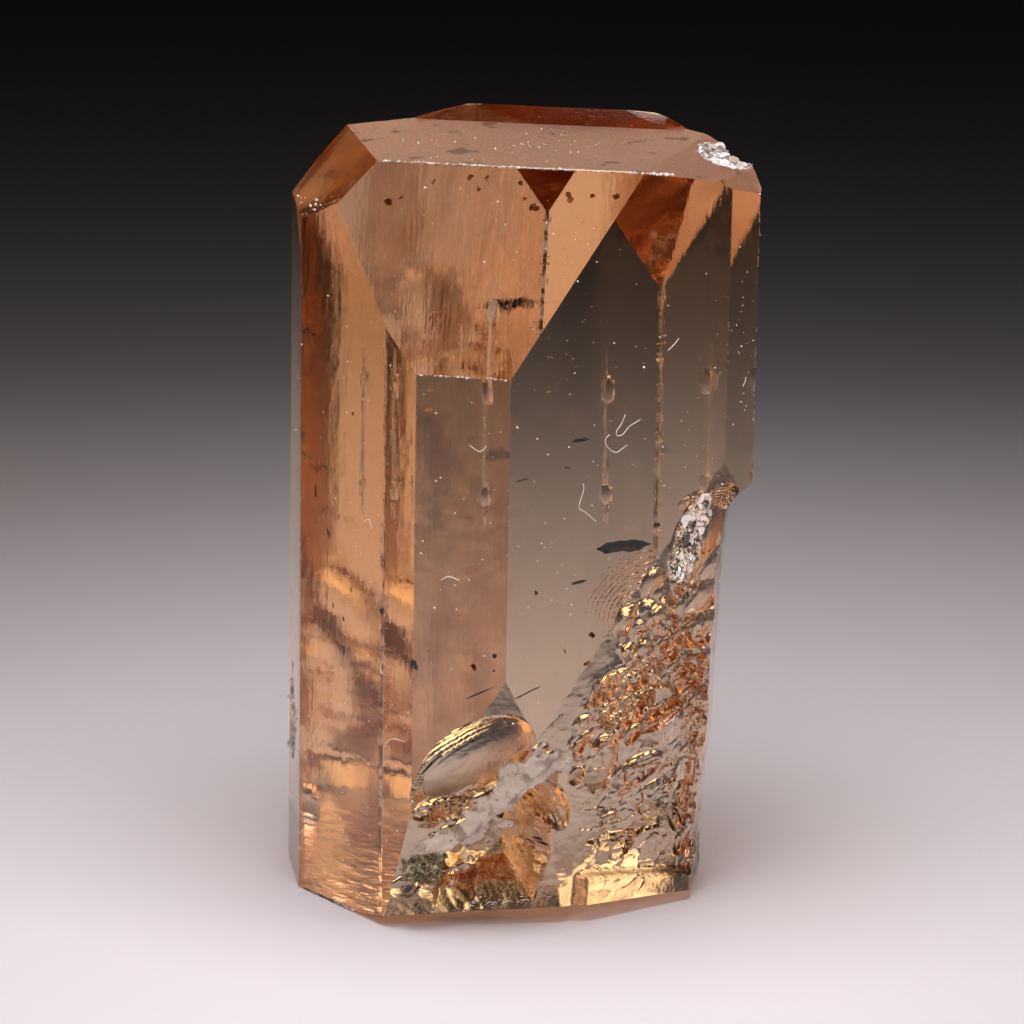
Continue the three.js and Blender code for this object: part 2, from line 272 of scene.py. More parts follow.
class Noise:
    """Repeatable noise over two coordinates."""

    @staticmethod
    def cell(i: Array, j: Array, seed: int) -> Array:
        """A number from 0 to 1 for each lattice cell.

        Args:
            i: whole cells one way.
            j: whole cells the other way.
            seed: which pattern.

        Returns:
            The numbers.
        """
        n = (i.astype(np.int64) * 374761393 + j.astype(np.int64) * 668265263 + seed * 974711)
        n = (n ^ (n >> 13)) * 1274126177 & 0x7FFFFFFF
        n = (n ^ (n >> 16)) * 1103515245 & 0x7FFFFFFF
        return (n >> 7 & 0xFFFF) / 65535.0

    @classmethod
    def value(cls, x: Array, y: Array, seed: int) -> Array:
        """Smooth noise from -1 to 1, one lattice cell wide.

        Args:
            x: cells one way.
            y: cells the other way.
            seed: which pattern.

        Returns:
            The noise.
        """
        i, j = np.floor(x), np.floor(y)
        u, v = x - i, y - j
        u, v = u * u * (3 - 2 * u), v * v * (3 - 2 * v)
        low = cls.cell(i, j, seed) * (1 - u) + cls.cell(i + 1, j, seed) * u
        high = cls.cell(i, j + 1, seed) * (1 - u) + cls.cell(i + 1, j + 1, seed) * u
        return 2 * (low * (1 - v) + high * v) - 1

    @classmethod
    def octaves(cls, x: Array, y: Array, seed: int, count: int = 3) -> Array:
        """Noise of several sizes, each half the size and height of the one before.

        Args:
            x: cells one way.
            y: cells the other way.
            seed: which pattern.
            count: how many sizes.

        Returns:
            The sum.
        """
        total = np.zeros_like(x)
        for n in range(count):
            total += cls.value(x * 2**n, y * 2**n, seed + n) / 2**n
        return total

    @classmethod
    def bites(cls, x: Array, y: Array, seed: int) -> Array:
        """Shell-shaped bites, one in each lattice cell: 1 at a bite's middle, ridges between.

        Args:
            x: cells one way.
            y: cells the other way.
            seed: which pattern.

        Returns:
            The heights.
        """
        i, j = np.floor(x), np.floor(y)
        nearest = np.full_like(x, 9.0)
        for di in (-1, 0, 1):
            for dj in (-1, 0, 1):
                cx = i + di + 0.15 + 0.7 * cls.cell(i + di, j + dj, seed)
                cy = j + dj + 0.15 + 0.7 * cls.cell(i + di, j + dj, seed + 7)
                nearest = np.minimum(nearest, (x - cx) ** 2 + (y - cy) ** 2)
        return 1 - np.minimum(nearest, 1.6)

    @classmethod
    def facets(cls, x: Array, y: Array, seed: int) -> Array:
        """Flat tilted scales with steps between them, one in each lattice cell, -1.5 to 1.5.

        Args:
            x: cells one way.
            y: cells the other way.
            seed: which pattern.

        Returns:
            The heights.
        """
        i, j = np.floor(x), np.floor(y)
        nearest = np.full_like(x, 9.0)
        height = np.zeros_like(x)
        for di in (-1, 0, 1):
            for dj in (-1, 0, 1):
                a, b = i + di, j + dj
                dx = x - a - 0.1 - 0.8 * cls.cell(a, b, seed)
                dy = y - b - 0.1 - 0.8 * cls.cell(a, b, seed + 7)
                tilt_x, tilt_y = cls.cell(a, b, seed + 11) - 0.5, cls.cell(a, b, seed + 13) - 0.5
                flat = 0.7 * (cls.cell(a, b, seed + 17) - 0.5) + 2.4 * (dx * tilt_x + dy * tilt_y)
                closer = dx * dx + dy * dy < nearest
                nearest = np.where(closer, dx * dx + dy * dy, nearest)
                height = np.where(closer, flat, height)
        return height

    @classmethod
    def ridges(cls, x: Array, y: Array, seed: int, count: int = 3) -> Array:
        """Sharp crests of several sizes, from 0 between them to about 1 on them.

        Args:
            x: cells one way.
            y: cells the other way.
            seed: which pattern.
            count: how many sizes.

        Returns:
            The heights.
        """
        total = np.zeros_like(x)
        for n in range(count):
            crest = 1 - np.abs(cls.value(x * 2**n, y * 2**n, seed + n))
            total += crest * crest / 2 ** (n + 1)
        return total


def smooth(value: Array) -> Array:
    """Ease a number from 0 to 1, held at the ends."""
    value = np.clip(value, 0.0, 1.0)
    return value * value * (3 - 2 * value)


def plane_through(spots: list[Point]) -> tuple[float, float, float]:
    """The plane through three spots of across, up and radius.

    Args:
        spots: three spots.

    Returns:
        Radius at the origin, and its change per across and per up.
    """
    rows = np.array([[1.0, s[0], s[1]] for s in spots])
    return tuple(np.linalg.solve(rows, np.array([s[2] for s in spots])))


@dataclass
class Tangle:
    """Many small closed bodies gathered into one mesh."""

    vertices: list[Array] = field(default_factory=list)
    faces: list[Face] = field(default_factory=list)
    total: int = 0

    def add(self, vertices: Array, faces: list[Face]) -> None:
        """Add one body.

        Args:
            vertices: rows of x, y, z in crystal millimetres.
            faces: vertex numbers of each face.
        """
        self.faces += [tuple(v + self.total for v in face) for face in faces]
        self.vertices.append(np.asarray(vertices, dtype=float))
        self.total += len(vertices)

    def tube(self, spine: Array, radii: Array, sides: int = 5) -> None:
        """Add a tube along a line, with a radius at each point and pointed ends.

        Args:
            spine: rows of x, y, z.
            radii: a radius for each row.
            sides: corners of the section.
        """
        run = np.gradient(spine, axis=0)
        run /= np.linalg.norm(run, axis=1)[:, None]
        aside = np.cross(run, np.where(np.abs(run[:, 2:]) > 0.9, [[1.0, 0, 0]], [[0, 0, 1.0]]))
        aside /= np.linalg.norm(aside, axis=1)[:, None]
        above = np.cross(run, aside)
        turn = np.arange(sides) * 2 * math.pi / sides
        ring = aside[:, None] * np.cos(turn)[None, :, None]
        ring = ring + above[:, None] * np.sin(turn)[None, :, None]
        points = (spine[:, None] + ring * radii[:, None, None]).reshape(-1, 3)
        faces = []
        for low in range(0, (len(spine) - 1) * sides, sides):
            high = low + sides
            for k in range(sides):
                m = (k + 1) % sides
                faces.append((low + k, low + m, high + m, high + k))
        faces.append(tuple(range(sides))[::-1])
        faces.append(tuple((len(spine) - 1) * sides + k for k in range(sides)))
        self.add(points, faces)

    def plate(self, centre: Array, across: Array, up: Array, thick: Array,
              corners: int = 6) -> None:
        """Add a thin flake with a many-cornered outline.

        Args:
            centre: its middle.
            across: half size along one side, as a vector.
            up: half size along the other, as a vector.
            thick: half thickness, as a vector.
            corners: corners of the outline.
        """
        turn = np.arange(corners) * 2 * math.pi / corners
        rim = centre + np.cos(turn)[:, None] * across + np.sin(turn)[:, None] * up
        faces = [tuple(range(corners, 2 * corners)), tuple(range(corners))[::-1]]
        for k in range(corners):
            m = (k + 1) % corners
            faces.append((k, m, corners + m, corners + k))
        self.add(np.concatenate([rim - thick, rim + thick]), faces)

    def piece(self, name: str) -> Piece:
        """Make one object of all the bodies.

        Args:
            name: the object's name.

        Returns:
            The object.
        """
        mesh = mesh_from(name, np.concatenate(self.vertices), self.faces)
        log.info("%s: %d faces", name, len(mesh.polygons))
        return new_object(name, mesh)


def pebble() -> tuple[Array, list[Face]]:
    """Vertices and faces of a small round body of radius 1.

    Returns:
        Rows of x, y, z, and the vertex numbers of each face.
    """
    shape = bmesh.new()
    bmesh.ops.create_icosphere(shape, subdivisions=1, radius=1.0)
    vertices = np.array([tuple(v.co) for v in shape.verts])
    faces = [tuple(v.index for v in f.verts) for f in shape.faces]
    shape.free()
    return vertices, faces


# ---------------------------------------------------------------- the breaks


@dataclass
class Shell:
    """A shell-shaped bite of a break, with rings of ribs round the spot it burst from.

    Sizes are millimetres. The lean turns the long axis from level, in degrees. The burst is in
    half sizes of the bite, along its own axes.
    """

    across: float
    up: float
    half_long: float
    half_wide: float
    lean: float
    depth: float
    ribs: float = 0.0
    rib_depth: float = 0.03
    burst: Spot = (0.0, 0.0)
    rib_start: float = 0.0

    def depth_at(self, across: Array, up: Array) -> Array:
        """How far the bite goes in over a grid of across and up, below 0 outside it.

        Args:
            across: millimetres across.
            up: millimetres up.

        Returns:
            The depths in millimetres.
        """
        lean = math.radians(self.lean)
        dx, dy = across - self.across, up - self.up
        along = (dx * math.cos(lean) + dy * math.sin(lean)) / self.half_long
        aside = (dy * math.cos(lean) - dx * math.sin(lean)) / self.half_wide
        bowl = 1 - along**2 - aside**2
        depth = self.depth * np.where(bowl > 0, np.sqrt(np.abs(bowl)) * 0.5 + bowl * 0.5, bowl)
        if self.ribs:
            ring = np.hypot(along - self.burst[0], aside - self.burst[1]) * self.ribs
            ring = ring + 0.25 * Noise.value(across * 1.7, up * 1.7, 3)
            wave = ring - np.floor(ring)
            begun = smooth((ring - self.rib_start * self.ribs) / 1.5)
            depth = depth + self.rib_depth * (1 - wave) ** 1.5 * smooth(bowl * 4) * begun
        return depth


@dataclass
class Scatter:
    """A strip of a break that is covered with small bites.

    The strip runs between two spots and has a half width. Sizes are the smallest and the
    largest half size of a bite.
    """

    start: Spot
    end: Spot
    half_width: float
    count: int
    sizes: Spot
    depth: float
    seed: int
    stretch: float = 0.7
    lean: float = 45.0

    def shells(self) -> list[Shell]:
        """The bites of the strip.

        Returns:
            The bites, in their drawn order.
        """
        draw = np.random.default_rng(self.seed)
        run = np.array(self.end) - np.array(self.start)
        aside = np.array([-run[1], run[0]]) / np.hypot(*run) * self.half_width
        bites = []
        for _ in range(self.count):
            spot = np.array(self.start) + run * draw.random() + aside * (2 * draw.random() - 1)
            size = self.sizes[0] + (self.sizes[1] - self.sizes[0]) * draw.random() ** 2
            lean = self.lean + 50 * (draw.random() - 0.5)
            burst = (1.1 * (draw.random() - 0.5), -0.6 - 0.6 * draw.random())
            bites.append(Shell(
                float(spot[0]), float(spot[1]), size, size * (self.stretch + 0.3 * draw.random()),
                lean, self.depth * size * (0.6 + 0.8 * draw.random()), 3 + 3 * draw.random(),
                0.05 * size, burst,
            ))
        return bites


@dataclass
class BreakField:
    """A broken side as a height field: a radius from the c axis over across and up."""

    azimuth: float
    across: Spot
    up: Spot
    cell: float
    outer_radius: float = 9.0

    def radius(self, across: Array, up: Array) -> Array:
        """Radius of the broken surface; each kind of break has its own."""
        raise NotImplementedError

    def place(self, across: Array, up: Array, radius: Array) -> Array:
        """Put spots of the break in space.

        Args:
            across: millimetres along the break.
            up: millimetres up the c axis.
            radius: millimetres out from the c axis.

        Returns:
            Rows of x, y, z in crystal millimetres.
        """
        a = math.radians(self.azimuth)
        x = math.cos(a) * across + math.sin(a) * radius
        y = math.sin(a) * across - math.cos(a) * radius
        return np.stack([x, y, up], axis=-1)

    def cutter(self) -> Piece:
        """The closed body that the break takes away.

        Returns:
            The body.
        """
        columns = round((self.across[1] - self.across[0]) / self.cell)
        rows = round((self.up[1] - self.up[0]) / self.cell)
        t, z = np.meshgrid(np.linspace(*self.across, columns + 1), np.linspace(*self.up, rows + 1))
        inner = self.place(t, z, self.radius(t, z)).reshape(-1, 3)
        number = np.arange(inner.shape[0]).reshape(rows + 1, columns + 1)
        quads = np.stack(
            [number[:-1, :-1], number[1:, :-1], number[1:, 1:], number[:-1, 1:]], axis=-1
        ).reshape(-1, 4)
        loop = np.concatenate([
            number[0, :-1], number[:-1, -1], number[-1, :0:-1], number[:0:-1, 0],
        ])
        outer = self.place(
            t.reshape(-1)[loop], z.reshape(-1)[loop], np.full(loop.shape, self.outer_radius)
        )
        far = np.arange(loop.size) + inner.shape[0]
        faces = [tuple(q) for q in quads.tolist()]
        for i in range(loop.size):
            j = (i + 1) % loop.size
            faces.append((int(loop[i]), int(loop[j]), int(far[j]), int(far[i])))
        faces.append(tuple(far.tolist()))
        mesh = mesh_from("break_cutter", np.concatenate([inner, outer]), faces)
        return new_object("break_cutter", mesh)


@dataclass
class FrontBreak(BreakField):
    """The broken lower front corner.

    Spots are across and up, slopes three spots with their radii, and patches a middle and half
    sizes. A set of rings is a centre, the inner and outer radius, the step and the angles it spans.
    """

    azimuth: float = 35.0
    across: Spot = (-5.7, 5.4)
    up: Spot = (-0.6, 12.4)
    cell: float = 0.04
    face_azimuth: float = 43.5
    face_distance: float = 5.37
    right_spots: tuple[Point, ...] = ((-1.35, 5.6, 5.63), (4.1, 11.25, 4.68), (1.0, 0.5, 4.35))
    left_spots: tuple[Point, ...] = ((-4.57, 3.2, 4.42), (-2.7, 6.65, 5.75), (-1.72, 0.5, 4.5))
    shells: tuple[Shell, ...] = (
        Shell(-3.2, 4.75, 1.6, 0.98, 32, 0.5, 6.5, 0.035, (0.25, -2.0), 2.1),
        Shell(-4.3, 4.15, 0.75, 0.3, 62, 0.25, 4, 0.05, (0.0, -1.5)),
        Shell(-3.8, 3.35, 0.8, 0.35, 15, 0.3, 7, 0.05, (-0.9, -0.9)),
        Shell(-2.3, 4.5, 0.35, 0.75, 20, 0.25, 4, 0.04, (0.9, 0.0)),
        Shell(-0.95, 3.3, 0.75, 0.38, -63, 0.32),
        Shell(0.45, 4.25, 0.85, 0.5, 80, 0.22),
        Shell(-0.25, 4.05, 0.35, 0.25, 20, 0.2),
        Shell(1.1, 2.3, 0.9, 0.55, 4, 0.10),
        Shell(2.4, 2.9, 0.8, 0.6, -12, 0.12, 2, 0.02, (0.6, 1.3)),
        Shell(1.6, 3.9, 0.9, 0.4, 15, 0.14, 3, 0.02, (0.2, -1.2)),
        Shell(3.2, 3.2, 1.3, 0.45, 82, 0.25, 3, 0.03, (0.0, 1.4)),
        Shell(3.45, 5.0, 0.8, 0.4, 70, 0.25, 4, 0.03, (0.3, 1.0)),
        Shell(1.2, 5.6, 0.9, 0.45, 20, 0.28, 6, 0.05, (-0.2, 1.2)),
        Shell(2.3, 5.3, 0.8, 0.35, 25, 0.25, 4, 0.04, (0.2, 1.1)),
        Shell(0.45, 6.3, 0.55, 0.35, 30, 0.25, 5, 0.03, (0.2, -1.1)),
        Shell(1.45, 6.35, 0.45, 0.35, 0, 0.3, 4, 0.03, (0.0, 0.9)),
        Shell(2.35, 7.1, 0.6, 0.4, 60, 0.32, 3, 0.04, (0.5, 1.0)),
        Shell(3.1, 6.3, 0.7, 0.45, 30, 0.3, 5, 0.05, (0.0, -1.0)),
        Shell(3.5, 7.5, 0.9, 0.45, 15, 0.35, 3, 0.04, (-0.8, 0.3)),
        Shell(3.3, 8.35, 0.8, 0.5, 25, 0.28, 2, 0.02, (-0.8, 0.8)),
        Shell(3.6, 9.2, 0.7, 0.55, 50, 0.22, 2, 0.02, (0.0, 1.0)),
        Shell(2.65, 8.75, 0.45, 0.22, -30, 0.2, 3, 0.04, (0.0, 1.2)),
        Shell(3.05, 10.0, 1.35, 0.85, 68, 0.5),
        Shell(3.7, 11.0, 0.6, 0.4, 10, 0.3, 5, 0.06, (0.0, -0.7)),
        Shell(2.75, 11.05, 0.45, 0.22, 20, 0.22, 3, 0.04, (0.0, -1.0)),
    )
    scatters: tuple[Scatter, ...] = (
        Scatter((0.9, 7.2), (2.5, 8.9), 0.75, 46, (0.16, 0.5), 0.5, 21, 0.75, 30),
        Scatter((0.2, 5.2), (3.6, 6.9), 0.85, 85, (0.1, 0.42), 0.6, 22, 0.6, 35),
        Scatter((-0.6, 4.9), (0.9, 6.6), 0.35, 22, (0.12, 0.35), 0.4, 23, 0.6, 50),
        Scatter((3.6, 4.8), (3.9, 6.9), 0.5, 24, (0.15, 0.4), 0.45, 24, 0.7, 60),
        Scatter((3.4, 0.6), (3.9, 4.8), 0.45, 26, (0.15, 0.45), 0.4, 25, 0.5, 80),
        Scatter((0.2, 1.6), (3.2, 4.4), 0.9, 12, (0.2, 0.5), 0.18, 26, 0.5, 20),
        Scatter((-4.6, 1.2), (-2.4, 0.7), 0.6, 26, (0.12, 0.4), 0.35, 27, 0.6, 10),
        Scatter((-4.4, 2.7), (-2.6, 3.4), 0.35, 22, (0.1, 0.3), 0.35, 28, 0.6, 30),
        Scatter((-1.6, 4.6), (-0.4, 4.4), 0.35, 12, (0.1, 0.25), 0.4, 29, 0.7, 0),
    )
    pocket_radius: float = 3.3
    calm_patch: tuple[Spot, Spot] = ((3.8, 7.9), (1.3, 1.2))
    glassy_patch: tuple[Spot, Spot] = ((1.8, 2.9), (2.6, 2.6))
    fluted_patch: tuple[Spot, Spot] = ((3.5, 3.2), (0.8, 3.6))
    silver_patch: tuple[Spot, Spot] = ((2.95, 10.0), (0.95, 1.35))
    comb_patch: tuple[Spot, Spot] = ((-0.95, 3.3), (0.5, 0.75))
    fan_patch: tuple[Spot, Spot] = ((0.4, 4.3), (0.5, 0.85))
    ridge_patch: tuple[Spot, Spot] = ((-1.25, 2.5), (0.28, 1.6))
    grain_lean: float = 72.0
    ring_sets: tuple[tuple[Spot, float, float, float, float, float], ...] = (
        ((1.5, 7.75), 0.9, 2.1, 0.13, 75, 170),
        ((1.4, 7.4), 0.7, 1.3, 0.11, 95, 185),
        ((1.6, 5.6), 1.3, 2.0, 0.12, 140, 195),
    )
    ring_depth: float = 0.045

    def pocket(self, t: Array, z: Array) -> Array:
        """Radius of the pocket under the clay ledge; large where the pocket isn't.

        Args:
            t: millimetres across.
            z: millimetres up.

        Returns:
            The radii.
        """
        base = self.pocket_radius
        underside = 3.8 + 0.7 * (t + 0.9) + 0.1 * Noise.value(t * 2.2, z, 44)
        floor_back = 1.9 + 0.36 * (t + 1.0) + 0.05 * Noise.value(t * 3, z, 45)
        walls = [
            np.full_like(t, base) + 0.1 * Noise.octaves(t * 1.5, z * 1.5, 46, 3),
            base + 1.5 * (-3.3 - t),
            base + 3.0 * (t + 1.65 + 0.12 * Noise.value(t, z * 2, 47)),
            base + 3.5 * (z - underside),
            base + 1.2 * (floor_back - z),
        ]
        return np.maximum.reduce(walls)

    def rough_band(self, t: Array, z: Array) -> Array:
        """1 in the rough band under the upper edge, 0 away from it.

        Args:
            t: millimetres across.
            z: millimetres up.

        Returns:
            The mask.
        """
        left, right = self.right_spots[:2]
        rise = (right[1] - left[1]) / (right[0] - left[0])
        below = left[1] + rise * (t - left[0]) - z
        calm = np.maximum(smooth((z - 8.3) / 0.6), self.patch(t, z, self.calm_patch))
        return smooth(1.7 - np.abs(below - 1.9)) * smooth((t + 0.6) / 0.5) * (1 - calm)

    @staticmethod
    def patch(t: Array, z: Array, where: tuple[Spot, Spot]) -> Array:
        """1 in the middle of a patch and easing to 0 at its half sizes."""
        spot, half = where
        return smooth(1.5 - 1.5 * np.hypot((t - spot[0]) / half[0], (z - spot[1]) / half[1]))

    def sound(self, t: Array, z: Array) -> Array:
        """Radius of the two plain slopes, without bites and pocket.

        Args:
            t: millimetres across.
            z: millimetres up.

        Returns:
            The radii.
        """
        right, left = plane_through(self.right_spots), plane_through(self.left_spots)
        return np.minimum(
            right[0] + right[1] * t + right[2] * z, left[0] + left[1] * t + left[2] * z
        )

    def texture(self, t: Array, z: Array) -> Array:
        """Fine relief of the break's parts, to be added to its radius.

        Args:
            t: millimetres across.
            z: millimetres up.

        Returns:
            The relief in millimetres.
        """
        band = self.rough_band(t, z)
        wx, wz = t + 0.2 * Noise.value(t, z, 31), z + 0.2 * Noise.value(t, z, 32)
        relief = -(0.01 + 0.04 * band) * Noise.bites(wx / 0.5, wz / 0.5, 5)
        glass = self.patch(t, z, self.glassy_patch)
        relief += (0.010 + 0.085 * band + 0.05 * glass) * Noise.facets(wx / 0.62, wz / 0.48, 5)
        relief += (0.003 + 0.022 * band + 0.010 * glass) * Noise.facets(wx / 0.2, wz / 0.16, 9)
        flute = self.patch(t, z, self.fluted_patch)
        relief += 0.10 * flute * (Noise.ridges(t / 0.3, z / 2.4, 57, 2) - 0.5)
        line = z - 2.15 - 0.06 * Noise.value(t * 2.5, z * 0.0, 58)
        reach = smooth(t / 0.3) * smooth((2.7 - t) / 0.4)
        relief -= 0.07 * reach * np.exp(-((line / 0.045) ** 2))
        silver = self.patch(t, z, self.silver_patch)
        lean = math.radians(self.grain_lean)
        along = t * math.cos(lean) + z * math.sin(lean)
        aside = z * math.cos(lean) - t * math.sin(lean)
        relief += 0.13 * silver * (Noise.ridges(aside / 0.3, along / 1.1, 51, 3) - 0.4)
        relief += 0.07 * silver * Noise.facets(aside / 0.17, along / 0.6, 52)
        comb = self.patch(t, z, self.comb_patch)
        tooth = (aside * 0.3 + t * 2.2 + z * 0.9) / 0.3
        relief += 0.09 * comb * np.abs(2 * (tooth - np.floor(tooth)) - 1)
        fan = self.patch(t, z, self.fan_patch)
        relief += 0.07 * fan * (Noise.ridges((t - 0.12 * z) / 0.13, z / 1.4, 53, 2) - 0.4)
        ridge = self.patch(t, z, self.ridge_patch)
        relief += 0.10 * ridge * (1 - 2 * Noise.bites(t / 0.16, z / 0.16, 54))
        relief += (0.008 + 0.015 * band) * Noise.octaves(t / 0.5, z / 0.5, 40, 4)
        return relief

    def rings(self, t: Array, z: Array) -> Array:
        """Depth of the thin rings that spread from the break into the sound face.

        Args:
            t: millimetres across.
            z: millimetres up.

        Returns:
            The depths in millimetres.
        """
        depth = np.zeros_like(t)
        for centre, inner, outer, step, low, high in self.ring_sets:
            dx, dz = t - centre[0], (z - centre[1]) * 0.9
            distance = np.hypot(dx, dz) + 0.05 * Noise.value(t * 1.5, z * 1.5, 81)
            angle = np.degrees(np.arctan2(dz, dx)) % 360
            phase = (distance - inner) / step
            groove = 1 - np.abs(2 * (phase - np.floor(phase)) - 1) * 2
            within = smooth((angle - low) / 15) * smooth((high - angle) / 15)
            within = within * smooth((distance - inner) / 0.15) * smooth((outer - distance) / 0.3)
            depth = np.maximum(depth, self.ring_depth * within * np.clip(groove, 0, 1))
        return depth

    def radius(self, across: Array, up: Array) -> Array:
        """Radius of the broken surface over across and up.

        Args:
            across: millimetres across.
            up: millimetres up.

        Returns:
            The radii.
        """
        t, z = across, up
        step = smooth((1.4 - 0.15 * t - z) / 0.2) * smooth((t + 0.3) / 0.5)
        radius = np.minimum(self.sound(t, z) + 0.32 * step, self.pocket(t, z))
        bite = np.zeros_like(t)
        for shell in self.shells:
            bite = np.maximum(bite, shell.depth_at(t, z))
        for scatter in self.scatters:
            chips = np.zeros_like(t)
            for shell in scatter.shells():
                chips = np.maximum(chips, shell.depth_at(t, z))
            bite = bite + chips
        radius = radius - bite + self.texture(t, z)
        turn = math.radians(self.face_azimuth - self.azimuth)
        face = (self.face_distance - t * math.sin(turn)) / math.cos(turn)
        groove = self.rings(t, z)
        return np.where(groove > 0.004, np.minimum(radius, face - groove), radius)


@dataclass
class SideBreak(BreakField):
    """The broken right side, under its overhanging upper edge."""

    azimuth: float = 97.0
    across: Spot = (-3.2, 4.2)
    up: Spot = (-0.6, 12.0)
    cell: float = 0.07
    outline: tuple[Spot, ...] = (
        (12.1, 8.1), (11.1, 6.05), (10.6, 5.66), (8.9, 5.45),
        (4.2, 5.27), (2.1, 5.04), (-0.7, 4.95),
    )

    def radius(self, across: Array, up: Array) -> Array:
        """Radius of the broken surface over across and up.

        Args:
            across: millimetres across.
            up: millimetres up.

        Returns:
            The radii.
        """
        rising = self.outline[::-1]
        radius = np.interp(up, [p[0] for p in rising], [p[1] for p in rising])
        wx = across + 0.3 * Noise.value(across, up, 61)
        wz = up + 0.3 * Noise.value(across, up, 62)
        radius -= 0.09 * Noise.bites(wx / 1.3, wz / 1.3, 11)
        radius -= 0.05 * Noise.bites(wx / 0.5, wz / 0.5, 13)
        return radius + 0.05 + 0.02 * Noise.octaves(across / 0.6, up / 0.6, 71, 3)


# ---------------------------------------------------------------- the crystal


